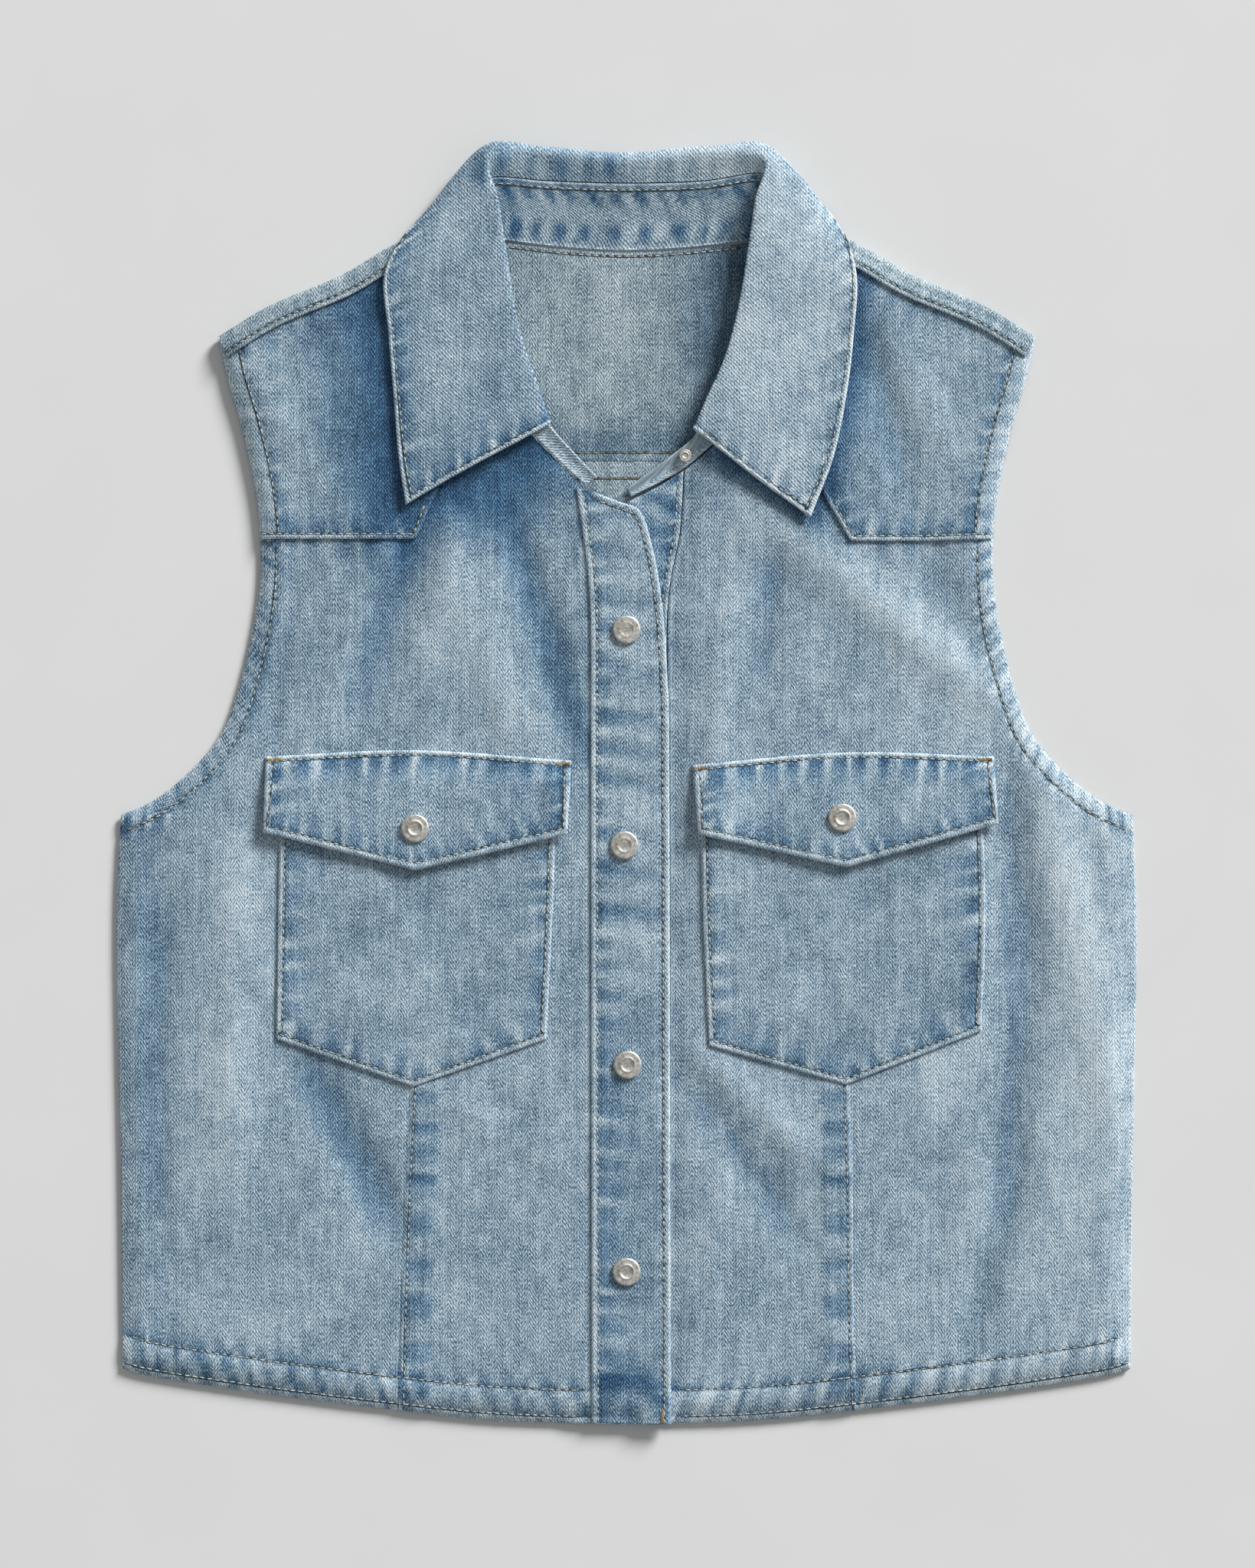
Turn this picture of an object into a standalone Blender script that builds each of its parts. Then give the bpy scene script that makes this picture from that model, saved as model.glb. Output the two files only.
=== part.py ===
"""Denim vest, laid flat with its collar toward +Y and its fronts up.

Sizes are in millimetres until a mesh is made. X runs across the vest, Y up to the
collar and Z off the surface it lies on. Right and left are the wearer's, so the
right front is at -X. The origin is under the middle of the vest.
"""

import bpy
import numpy as np

MM = 0.001

# The cloth and how its layers lie
CLOTH = 1.2          # one wall of cloth
SEAM = 0.3           # between the back and the fronts on it
LAYER = 0.45         # between a front and what is sewn on it
LOFT = 3.3           # how far the fronts ride above their own edges
EDGE_SOFT = 14.0     # the width over which a front rises from its edge
HOLLOW_TOP = 5.0     # the highest that a front's underside gets
HEM = 14.5           # width of the turned hem
TURNING = 10.5       # width of the turned armhole
TURNING_RAISE = 0.5  # how much thicker a turning is

# Half outlines, hem corner to armhole to shoulder, as (x, y) with x outward
SIDE = [(239, -277.5), (240, -186), (242, -71), (240, -15)]
ARMHOLE = [(240, -15), (223, -7), (204, 9), (190, 28), (180, 60), (174, 95),
           (175, 130), (182, 166), (189, 190), (194, 212)]
SHOULDER = [(194, 212), (169, 227), (136, 241), (112, 255), (84, 267)]
HEM_LINE = [(239, -277.5), (224, -281.4), (174, -289), (110, -297), (60, -302), (0, -304)]

# The neck seam: across the back, then down each front to the plackets
BACK_NECK = [(-73, 260), (-60, 258), (-30, 254.5), (0, 253), (30, 254.5), (60, 258), (73, 260)]
NECK_RIGHT = [(-73, 260), (-77, 247), (-76, 223), (-70, 200), (-58, 180), (-43, 164),
              (-30, 151), (-17, 137)]
NECK_LEFT = [(73, 260), (77, 247), (76, 223), (70, 200), (57, 176), (38, 158.5), (28, 150)]

# The front edges: the right placket laps over the left one
PLACKET_RIGHT_OUT = [(-16.5, -303), (-17, 0), (-17.3, 81), (-20.5, 117), (-24, 140)]
PLACKET_RIGHT_EDGE = [(21, -303.5), (20.2, 0), (19.3, 50), (17.3, 81), (14.4, 102), (12, 113),
                      (9, 124), (5, 130.5), (-3, 133.5), (-15, 138)]
PLACKET_LEFT_EDGE = [(-13, -303), (-13, 60), (-9, 100), (2, 134.4)]
PLACKET_LEFT_TOP = [(2, 134.4), (15, 141), (27, 148.4)]
UNDER_SEAM = [(19.8, -303), (19.6, 0), (19.3, 81), (25.3, 120), (27, 148.4)]
UNDER_LOW = 0.36     # share of the loft left where the left front goes under the right one
UNDER_SOFT = 14.0    # and the width over which it comes up again

BACK_YOKE_SEAM = 153.0   # height of the seam across the back
SHOULDER_ROLL = 3.3      # outer radius of the fold over the shoulder
SHOULDER_LAP = 11.0      # how far the back yoke laps over each front
SHOULDER_CLEAR = 5.5     # how far inside that fold a front ends

# The main folds of the fronts, ridges up and troughs down: a straight run each
FOLDS = [
    # x0, y0, x1, y1, half width, height
    (-54, 119, -24, 22, 9, -1.3),
    (-84, 112, -59, 37, 13, 1.2),
    (-104, 112, -126, 45, 9, -0.9),
    (-186, -37, -186, -186, 14, 1.1),
    (-149, -138, -112, -208, 10, -1.1),
    (-228, -37, -222, -223, 9, -0.7),
    (69, 104, 63, 56, 9, -0.8),
    (69, 125, 164, 48, 12, 1.2),
    (142, 115, 164, 63, 9, -0.8),
    (110, 223, 130, 149, 10, -0.7),
    (116, 223, 149, 164, 11, 0.8),
    (181, 7, 186, -74, 9, -1.2),
    (186, -74, 181, -186, 9, -1.3),
    (181, -186, 164, -261, 9, -1.1),
    (201, -19, 231, -149, 13, 1.1),
    (37, -130, 86, -175, 9, 0.9),
    (36, -150, 75, -208, 9, -0.8),
    (44, 60, 41, -70, 8, 0.7),
]

# Pocket and flap outlines on each front, (x, y) as they lie
POCKET = {
    "right": {"top": [(-164, 0), (-33, 0)], "left": [(-166, -121), (-165, -60), (-164, 0)],
              "right": [(-38, -121), (-35, -60), (-33, 0)],
              "low": [(-166, -121), (-101, -143.5), (-38, -121)]},
    "left": {"top": [(35, 0), (168, 0)], "left": [(39, -124), (36, -60), (35, 0)],
             "right": [(168, -117), (170, -60), (168, 0)],
             "low": [(39, -124), (104, -142.5), (168, -117)]},
}
FLAP = {
    "right": {"top": [(-171, 13), (-100, 16), (-26, 11)], "left": [(-172, -23), (-171, 13)],
              "right": [(-28, -24), (-26, 11)], "low": [(-172, -23), (-100, -41), (-28, -24)]},
    "left": {"top": [(31, 9), (104, 15), (174, 13)], "left": [(34, -24), (31, 9)],
             "right": [(176, -19), (174, 13)], "low": [(34, -24), (104, -39.5), (176, -19)]},
}
FLAP_LIFT = 2.2      # how far a flap's lower edge stands off the pocket

# Front yokes below the shoulder: the outline's lower side, armhole to neck
YOKE_LOW = {
    "right": [(-173.5, 116), (-138, 116), (-100, 116), (-93, 132), (-82, 158), (-74, 182)],
    "left": [(173.5, 116), (142, 115), (106, 115), (95, 134), (83, 160), (74, 182)],
}

# The collar, station by station from the right front round the back to the left front.
# neck is the neck seam, top is the stand's upper edge.
STAND = [
    # neck_x, neck_y, neck_z, top_x, top_y, top_z
    (-19.5, 141.5, 6.4, -14, 145.5, 6.9),
    (-30, 151, 6.6, -24, 156, 7.6),
    (-43, 164, 6.6, -37, 171, 8.2),
    (-58, 180, 6.6, -44, 187, 8.6),
    (-70, 200, 6.6, -51, 204, 8.8),
    (-76, 223, 6.6, -56, 224, 9.0),
    (-77, 247, 6.2, -60, 252, 9.4),
    (-70, 260, 3.6, -62, 277, 9.6),
    (-59, 258, 1.6, -64, 287, 9.0),
    (-30, 254.5, 0.9, -36, 285.5, 7.4),
    (0, 253, 0.9, 0, 284.5, 7.0),
    (30, 254.5, 0.9, 36, 285.5, 7.4),
    (59, 258, 1.6, 64, 289, 9.0),
    (70, 260, 3.6, 63, 278, 9.6),
    (77, 247, 6.2, 60, 252, 9.4),
    (76, 223, 6.6, 56, 224, 9.0),
    (70, 200, 6.6, 50, 201, 8.8),
    (57, 176, 6.4, 42, 183, 8.4),
    (38, 158.5, 5.4, 33, 166, 7.4),
    (28, 150.2, 3.9, 23, 157, 5.9),
    (15, 142.6, 3.5, 11, 148, 4.7),
    (2, 136.2, 3.4, 0, 140, 3.9),
]
LEAF_FIRST, LEAF_LAST = 2, 18   # the stations of the stand that carry the leaf
LEAF = [
    # crest_x, crest_y, crest_z, turn_x, turn_y, turn_z, edge_x, edge_y, edge_z
    (-40, 168, 11.0, -78, 147.5, 11.4, -104.5, 132, 10.8),
    (-45, 185, 11.4, -84, 167, 11.4, -108, 155, 10.6),
    (-51, 204, 11.8, -90, 195, 11.2, -110.5, 186, 10.6),
    (-56, 224, 12.2, -94, 219, 11.4, -112.7, 213, 10.8),
    (-60, 250, 13.0, -97, 247, 11.8, -114.2, 243, 11.0),
    (-63, 275, 13.6, -88, 274, 9.6, -98, 268, 4.2),
    (-65, 296.5, 13.0, -67, 301.5, 8.6, -71, 291, 1.4),
    (-40, 298.5, 10.6, -38, 300.2, 5.6, -37, 286, 0.7),
    (0, 295.5, 10.2, 0, 297.6, 5.4, 0, 284, 0.7),
    (40, 298.5, 10.6, 38, 300.2, 5.6, 37, 286, 0.7),
    (65, 296.5, 13.0, 67, 301.5, 8.6, 71, 291, 1.4),
    (63, 275, 13.6, 88, 274, 9.6, 98, 268, 4.2),
    (60, 250, 13.0, 93, 247, 11.8, 108.5, 243, 11.0),
    (55.5, 224, 12.2, 90, 217, 11.4, 107.3, 211, 10.8),
    (49.5, 201, 11.8, 85, 190, 11.2, 104, 184, 10.6),
    (41, 181, 11.4, 78, 162, 11.4, 98, 155, 10.6),
    (34, 166, 11.0, 62, 144, 11.4, 87, 126, 10.8),
]

# Snaps
SNAP_RADIUS = 6.7
SNAP_HEIGHT = 2.2
PLACKET_SNAPS = [(0, 73), (-1, -29), (0.5, -133), (0, -231)]
FLAP_SNAPS = {"right": (-100, -21), "left": (102, -16)}
STUD_AT = (27.8, 155.5)
STUD_RADIUS = 3.0
STUD_HEIGHT = 1.6

COLOURS = {
    "back": (0.165, 0.225, 0.270),
    "front": (0.225, 0.320, 0.400),
    "trim": (0.190, 0.275, 0.355),
    "collar": (0.240, 0.345, 0.430),
    "snap": (0.450, 0.440, 0.390),
}


def clear_scene():
    for item in list(bpy.data.objects):
        bpy.data.objects.remove(item, do_unlink=True)


def material(name):
    """A Principled BSDF in the piece's own colour."""
    made = bpy.data.materials.new(name)
    made.use_nodes = True
    shader = made.node_tree.nodes["Principled BSDF"]
    metal = name == "snap"
    shader.inputs["Base Color"].default_value = (*COLOURS[name], 1.0)
    shader.inputs["Roughness"].default_value = 0.38 if metal else 0.92
    shader.inputs["Metallic"].default_value = 1.0 if metal else 0.0
    return made


def soft_step(t):
    t = np.clip(t, 0.0, 1.0)
    return t * t * (3.0 - 2.0 * t)


def rounded(t):
    """Rises steeply from an edge and then levels out."""
    return np.sin(np.clip(t, 0.0, 1.0) * np.pi / 2)


def mirrored(points):
    return [(-x, y) for x, y in points]


def smooth_line(points, corners=False):
    """Dense points on a smooth curve through the given ones, with each one's share of the length."""
    points = np.array(points, float)
    if corners or len(points) < 3:
        dense = points
    else:
        first = 2 * points[0] - points[1]
        last = 2 * points[-1] - points[-2]
        knots = np.vstack([first, points, last])
        parts = []
        for a, b, c, d in zip(knots, knots[1:], knots[2:], knots[3:]):
            t = np.linspace(0.0, 1.0, 12, endpoint=False)[:, None]
            bend = 2 * a - 5 * b + 4 * c - d
            turn = 3 * b - 3 * c + d - a
            parts.append(0.5 * (2 * b + (c - a) * t + bend * t**2 + turn * t**3))
        dense = np.vstack(parts + [points[-1:]])
    steps = np.linalg.norm(np.diff(dense, axis=0), axis=1)
    share = np.concatenate([[0.0], np.cumsum(steps)])
    return dense, share / share[-1]


def at(line, share):
    dense, shares = line
    return np.stack([np.interp(share, shares, dense[:, k]) for k in range(dense.shape[1])], axis=-1)


def length(line):
    return np.linalg.norm(np.diff(line[0], axis=0), axis=1).sum()


def patch(low, high, near, far, across, up):
    """A grid over four edge curves: across runs near to far, up runs low to high."""
    v = np.broadcast_to(up[:, None], across.shape)
    u3, v3 = across[..., None], v[..., None]
    sides = (1 - v3) * at(low, across) + v3 * at(high, across)
    ends = (1 - u3) * at(near, v) + u3 * at(far, v)
    c00, c10 = at(low, 0.0), at(low, 1.0)
    c01, c11 = at(high, 0.0), at(high, 1.0)
    corners = (1 - u3) * (1 - v3) * c00 + u3 * (1 - v3) * c10
    corners = corners + (1 - u3) * v3 * c01 + u3 * v3 * c11
    return sides + ends - corners


def even(count_up, count_across):
    """Evenly spaced shares for a patch, up and across."""
    up = np.linspace(0.0, 1.0, count_up + 1)
    across = np.linspace(0.0, 1.0, count_across + 1)
    return np.broadcast_to(across, (count_up + 1, count_across + 1)), up


def grid_faces(rows, columns):
    faces = []
    for i in range(rows - 1):
        for j in range(columns - 1):
            k = i * columns + j
            faces.append((k, k + 1, k + 1 + columns, k + columns))
    return faces


def wall(name, outer, inner, faces, slot):
    """A closed wall between two sheets with the same faces, its rim closed all round."""
    outer = np.asarray(outer, float).reshape(-1, 3)
    inner = np.asarray(inner, float).reshape(-1, 3)
    count = len(outer)
    edges = {(a, b) for face in faces for a, b in zip(face, face[1:] + face[:1])}
    shell = list(faces)
    shell += [tuple(count + k for k in reversed(face)) for face in faces]
    shell += [(b, a, a + count, b + count) for a, b in sorted(edges) if (b, a) not in edges]
    mesh = bpy.data.meshes.new(name)
    mesh.from_pydata((np.vstack([outer, inner]) * MM).tolist(), [], shell)
    mesh.materials.append(bpy.data.materials.get(slot) or material(slot))
    mesh.shade_smooth()
    mesh.set_sharp_from_angle(angle=0.7)
    made = bpy.data.objects.new(name, mesh)
    bpy.context.scene.collection.objects.link(made)
    return made


def sheet_wall(name, grid, slot):
    """A wall to both sides of a sheet of centre points."""
    rows, columns = grid.shape[:2]
    along = np.gradient(grid, axis=1)
    up = np.gradient(grid, axis=0)
    normal = np.cross(along, up)
    normal /= np.linalg.norm(normal, axis=-1, keepdims=True)
    half = normal * CLOTH / 2
    return wall(name, grid + half, grid - half, grid_faces(rows, columns), slot)


def distance(x, y, line):
    """Distance from each point to a line of points."""
    dense = line[0]
    best = np.full(np.shape(x), 1e9)
    for (ax, ay), (bx, by) in zip(dense, dense[1:]):
        dx, dy = bx - ax, by - ay
        t = np.clip(((x - ax) * dx + (y - ay) * dy) / (dx * dx + dy * dy), 0.0, 1.0)
        best = np.minimum(best, np.hypot(x - ax - t * dx, y - ay - t * dy))
    return best


def outline(side):
    """Hem corner to shoulder of one side, and the hem, as curves."""
    turn = mirrored if side == "right" else list
    return {
        "side": smooth_line(turn(SIDE)),
        "armhole": smooth_line(turn(ARMHOLE)),
        "shoulder": smooth_line(turn(SHOULDER)),
        "hem": smooth_line(turn(HEM_LINE)),
        "neck": smooth_line(NECK_RIGHT if side == "right" else NECK_LEFT),
    }


OUTLINES = {side: outline(side) for side in ("right", "left")}


def fold_height(x, y):
    total = np.zeros(np.shape(x))
    for x0, y0, x1, y1, width, height in FOLDS:
        dx, dy = x1 - x0, y1 - y0
        run = np.hypot(dx, dy)
        t = ((x - x0) * dx + (y - y0) * dy) / run**2
        off = np.abs((x - x0) * dy - (y - y0) * dx) / run
        fade = soft_step(1.5 - 1.6 * np.abs(t - 0.5))
        total += height * np.exp(-((off / width) ** 2)) * fade
    return total


def front_top(side, x, y):
    """Height of a front's outer face."""
    lines = OUTLINES[side]
    away = distance(x, y, lines["side"])
    for edge in ("armhole", "shoulder", "hem"):
        away = np.minimum(away, distance(x, y, lines[edge]))
    rise = rounded(away / EDGE_SOFT)
    lift = LOFT + fold_height(x, y)
    if side == "right":
        # It stays up where it laps over the other front.
        over = soft_step((x + 36.0) / 16.0)
        lift = lift * (1 - over) + (LOFT + 0.1) * over
        rise = np.maximum(rise, over)
    else:
        beside = rounded((x - np.interp(y, *zip(*[(b, a) for a, b in UNDER_SEAM]))) / UNDER_SOFT)
        rise = rise * (UNDER_LOW + (1 - UNDER_LOW) * beside)
    return SEAM + 2 * CLOTH + rise * lift


def layer_top(side, x, y, layers):
    """Outer face of the given number of layers on top of a front."""
    return front_top(side, x, y) + layers * (LAYER + CLOTH)


def laid(name, side, points, layers, slot, raised=0.0):
    """A wall that lies on a front, made from that front's own surface."""
    x, y = points[..., 0], points[..., 1]
    top = layer_top(side, x, y, layers)
    under = top - CLOTH
    if layers == 0:
        under = np.minimum(under, HOLLOW_TOP)
    outer = np.dstack([x, y, top + raised])
    inner = np.dstack([x, y, under])
    return wall(name, outer, inner, grid_faces(*x.shape), slot)


def joined(*lines):
    """One curve from several that meet end to end."""
    dense = np.vstack([lines[0][0]] + [line[0][1:] for line in lines[1:]])
    return smooth_line(dense, corners=True)


def inset(line, amount):
    """A curve moved to its left by an amount."""
    dense = line[0]
    run = np.gradient(dense, axis=0)
    run /= np.linalg.norm(run, axis=1, keepdims=True)
    return smooth_line(dense + amount * np.stack([-run[:, 1], run[:, 0]], axis=1), corners=True)


def reversed_line(line):
    return smooth_line(line[0][::-1], corners=True)


def shares_between(stops, counts):
    """Shares that step evenly between stops."""
    parts = [np.linspace(a, b, n, endpoint=False) for a, b, n in zip(stops, stops[1:], counts)]
    return np.concatenate(parts + [[stops[-1]]])


def front_points(side):
    """The grid of one front, from the side and armhole to the neck and the front edge."""
    lines = OUTLINES[side]
    sign = -1 if side == "right" else 1
    outer_line = joined(lines["side"], lines["armhole"])
    if side == "right":
        edge = smooth_line([(x - 1.0, y) for x, y in PLACKET_RIGHT_EDGE])
        neck = inset(reversed_line(lines["neck"]), 0.8)
    else:
        edge = smooth_line([(x + SEAM, y) for x, y in UNDER_SEAM])
        neck = inset(reversed_line(lines["neck"]), -0.8)
    inner_line = joined(edge, neck)
    top = inset(lines["shoulder"], SHOULDER_CLEAR * sign)
    hem_end = inner_line[0][0]
    hem = lines["hem"][0]
    if side == "right":
        hem = np.vstack([hem[hem[:, 0] < hem_end[0] - 2], hem_end])
    else:
        hem = np.vstack([hem[hem[:, 0] > hem_end[0] + 2], hem_end])
    outer_dense = np.vstack([outer_line[0][:-1], top[0][0]])
    outer_line = smooth_line(outer_dense, corners=True)
    inner_dense = np.vstack([inner_line[0][:-1], top[0][-1]])
    inner_line = smooth_line(inner_dense, corners=True)
    tall = length(outer_line)
    up = shares_between([0.0, (HEM - 0.6) / tall, (HEM + 0.6) / tall, 1.0], [1, 1, 33])
    across = []
    for v in up:
        wide = np.linalg.norm(at(outer_line, v) - at(inner_line, v))
        edges = [TURNING - 0.6, TURNING + 0.6, wide - 16.0, wide]
        across.append(shares_between([0.0] + [edge / wide for edge in edges], [2, 1, 10, 3]))
    return patch(smooth_line(hem, corners=True), top, outer_line, inner_line, np.array(across), up)


def turning_raise(side, points, yoke=False):
    """The turned hem and armhole stand a little proud, where nothing is sewn on them."""
    lines = OUTLINES[side]
    x, y = points[..., 0], points[..., 1]
    armhole = distance(x, y, lines["armhole"]) < TURNING
    hem = distance(x, y, lines["hem"]) < HEM
    if yoke:
        bare = y < lines["shoulder"][0][0][1] - 25.0
        return np.where(armhole & bare, TURNING_RAISE, 0.0)
    below_yoke = y < YOKE_LOW[side][0][1] - 15.0
    beside_placket = x < PLACKET_RIGHT_OUT[0][0] - 16.0 if side == "right" else x > UNDER_SEAM[0][0]
    return np.where((armhole & below_yoke) | (hem & beside_placket), TURNING_RAISE, 0.0)


def facing_up(points):
    """The same grid, turned so that its faces look up."""
    a = points[0, 1] - points[0, 0]
    b = points[1, 0] - points[0, 0]
    return points if a[0] * b[1] - a[1] * b[0] > 0 else points[:, ::-1]


def make_front(side):
    points = facing_up(front_points(side))
    laid("front_" + side, side, points, 0, "front", turning_raise(side, points))


def make_front_yoke(side):
    lines = OUTLINES[side]
    sign = -1 if side == "right" else 1
    low = smooth_line(YOKE_LOW[side], corners=True)
    high = inset(lines["shoulder"], SHOULDER_CLEAR * sign)
    armhole = lines["armhole"][0]
    armhole = armhole[armhole[:, 1] > low[0][0][1] + 2]
    near = inset(smooth_line(armhole, corners=True), 2.5 * sign)
    neck = inset(reversed_line(lines["neck"]), 0.8 * -sign)[0]
    neck = neck[neck[:, 1] > low[0][-1][1] + 2]
    near = smooth_line(np.vstack([low[0][0], near[0][1:-1], high[0][0]]), corners=True)
    far = smooth_line(np.vstack([low[0][-1], neck[:-1], high[0][-1]]), corners=True)
    up = np.linspace(0.0, 1.0, 10)
    across = []
    for v in up:
        wide = np.linalg.norm(at(near, v) - at(far, v))
        edges = [TURNING - 3.1, TURNING - 1.9, wide]
        across.append(shares_between([0.0] + [edge / wide for edge in edges], [1, 1, 9]))
    points = facing_up(patch(low, high, near, far, np.array(across), up))
    laid("front_yoke_" + side, side, points, 1, "front", turning_raise(side, points, yoke=True))


def make_placket_right():
    low = smooth_line([PLACKET_RIGHT_OUT[0], PLACKET_RIGHT_EDGE[0]])
    near = smooth_line(PLACKET_RIGHT_OUT)
    far = smooth_line(PLACKET_RIGHT_EDGE)
    high = smooth_line([PLACKET_RIGHT_OUT[-1], PLACKET_RIGHT_EDGE[-1]])
    across, up = even(36, 4)
    laid("placket_right", "right", patch(low, high, near, far, across, up), 1, "trim")


def make_placket_left():
    low = smooth_line([PLACKET_LEFT_EDGE[0], UNDER_SEAM[0]])
    near = smooth_line(PLACKET_LEFT_EDGE)
    far = smooth_line(UNDER_SEAM)
    high = smooth_line(PLACKET_LEFT_TOP)
    across, up = even(30, 3)
    laid("placket_left", "left", patch(low, high, near, far, across, up), 0, "trim")


def bag_points(shape, count_up, count_across):
    low = smooth_line(shape["low"], corners=True)
    high = smooth_line(shape["top"])
    across, up = even(count_up, count_across)
    return patch(low, high, smooth_line(shape["left"]), smooth_line(shape["right"]), across, up)


def make_pocket(side):
    laid("pocket_" + side, side, bag_points(POCKET[side], 9, 10), 1, "front")


def flap_top(side, points):
    """A flap lies on the front at its seam and on the pocket below it, with its edge off it."""
    x, y = points[..., 0], points[..., 1]
    down = np.linspace(1.0, 0.0, len(points))[:, None]
    layers = 1 + soft_step(down / 0.35)
    return layer_top(side, x, y, 0) + layers * (LAYER + CLOTH) + FLAP_LIFT * soft_step(down)


def make_flap(side):
    points = bag_points(FLAP[side], 7, 12)
    top = flap_top(side, points)
    outer = np.dstack([points, top])
    inner = np.dstack([points, top - CLOTH])
    wall("flap_" + side, outer, inner, grid_faces(*top.shape), "front")


def make_back_body():
    seam = BACK_YOKE_SEAM
    side = joined(OUTLINES["left"]["side"], OUTLINES["left"]["armhole"])[0]
    side = side[side[:, 1] < seam - 0.3]
    end = np.array([[178.6, seam]])
    right_edge = smooth_line(np.vstack([side, end]), corners=True)
    left_edge = smooth_line(right_edge[0] * (-1, 1), corners=True)
    hem = OUTLINES["left"]["hem"][0]
    hem = smooth_line(np.vstack([hem * (-1, 1), hem[::-1][1:]]), corners=True)
    high = smooth_line([left_edge[0][-1], right_edge[0][-1]])
    across, up = even(24, 10)
    points = patch(hem, high, left_edge, right_edge, across, up)
    flat = np.zeros(points.shape[:2])
    wall("back_body", np.dstack([points, flat + CLOTH]), np.dstack([points, flat]),
         grid_faces(*flat.shape), "back")


def shoulder_wrap(side, feet):
    """Rows of outer and inner points that carry the back yoke over a shoulder from its feet."""
    sign = -1 if side == "right" else 1
    run = np.subtract(SHOULDER[-1], SHOULDER[0])
    out = np.array([sign * abs(run[1]), abs(run[0])]) / np.hypot(*run)
    outer, inner = [], []
    for angle in np.radians([-45, 0, 45, 90]):
        shift = out * SHOULDER_ROLL * np.cos(angle)
        height = SHOULDER_ROLL * (1 + np.sin(angle))
        thin = SHOULDER_ROLL - CLOTH
        outer.append(np.column_stack([feet + shift, np.full(len(feet), height)]))
        shift = out * thin * np.cos(angle)
        inner.append(np.column_stack([feet + shift, np.full(len(feet), SHOULDER_ROLL + thin * np.sin(angle))]))
    for lap in (3.0, 5.5, SHOULDER_LAP - SHOULDER_ROLL):
        spot = feet - out * lap
        top = layer_top(side, spot[:, 0], spot[:, 1], 2) + SEAM
        top = np.maximum(top, 2 * SHOULDER_ROLL)
        outer.append(np.column_stack([spot, top]))
        inner.append(np.column_stack([spot, top - CLOTH]))
    return outer, inner


def make_back_yoke():
    seam = BACK_YOKE_SEAM + 0.3
    lines = OUTLINES["left"]
    armhole = lines["armhole"][0]
    armhole = armhole[(armhole[:, 1] > seam + 1) & (armhole[:, 1] < 206)]
    shoulder_in = inset(lines["shoulder"], SHOULDER_ROLL)
    near = np.vstack([[178.7, seam], armhole, shoulder_in[0][0]])
    right_edge = smooth_line(near, corners=True)
    left_edge = smooth_line(near * (-1, 1), corners=True)
    low = smooth_line([left_edge[0][0], right_edge[0][0]])
    left_shoulder = smooth_line(shoulder_in[0] * (-1, 1), corners=True)
    neck = np.array(smooth_line(BACK_NECK)[0])
    neck = neck[np.abs(neck[:, 0]) < 66] - (0, 0.8)
    high = joined(left_shoulder, smooth_line(neck, corners=True))
    high = smooth_line(np.vstack([high[0], shoulder_in[0][::-1]]), corners=True)
    total = length(high)
    reach = length(left_shoulder) / total
    columns, neck_columns = 8, 8
    ends = [0.0, 10.0 / total, reach, 1.0 - reach, 1.0 - 10.0 / total, 1.0]
    stops = shares_between(ends, [2, columns - 2, neck_columns, columns - 2, 2])
    rows = 8
    up = np.linspace(0.0, 1.0, rows + 1)
    low_share = np.linspace(0.0, 1.0, len(stops))
    across = stops[None, :] * up[:, None] + low_share[None, :] * (1 - up[:, None])
    low_points, high_points = at(low, low_share), at(high, stops)
    near_points, far_points = at(left_edge, up), at(right_edge, up)
    u, v = across[..., None], up[:, None, None]
    points = (1 - v) * low_points + v * high_points
    shift_near = near_points - points[:, 0]
    shift_far = far_points - points[:, -1]
    points = points + (1 - u) ** 2 * shift_near[:, None] + u**2 * shift_far[:, None]
    flat = np.zeros(points.shape[:2])
    outer = list(np.dstack([points, flat]).reshape(-1, 3))
    inner = list(np.dstack([points, flat + CLOTH]).reshape(-1, 3))
    wide = len(stops)
    faces = [face[::-1] for face in grid_faces(rows + 1, wide)]
    strips = {"right": range(0, columns + 1), "left": range(columns + neck_columns, wide)}
    for side, picks in strips.items():
        picks = list(picks)
        feet = points[-1, picks]
        below = [rows * wide + j for j in picks]
        for row_out, row_in in zip(*shoulder_wrap(side, feet)):
            here = list(range(len(outer), len(outer) + len(picks)))
            outer.extend(row_out)
            inner.extend(row_in)
            for a in range(len(picks) - 1):
                faces.append((below[a + 1], below[a], here[a], here[a + 1]))
            below = here
    wall("back_yoke", np.array(outer), np.array(inner), faces, "back")


def stations(table, first, last, count):
    """Smooth rows through a table of stations, evenly spaced from the first to the last."""
    table = np.array(table, float)
    spots = np.linspace(first, last, count)
    knots = np.vstack([2 * table[0] - table[1], table, 2 * table[-1] - table[-2]])
    rows = []
    for spot in spots:
        k = min(int(spot), len(table) - 2)
        t = spot - k
        a, b, c, d = knots[k:k + 4]
        bend = 2 * a - 5 * b + 4 * c - d
        turn = 3 * b - 3 * c + d - a
        rows.append(0.5 * (2 * b + (c - a) * t + bend * t**2 + turn * t**3))
    return np.array(rows)


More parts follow.
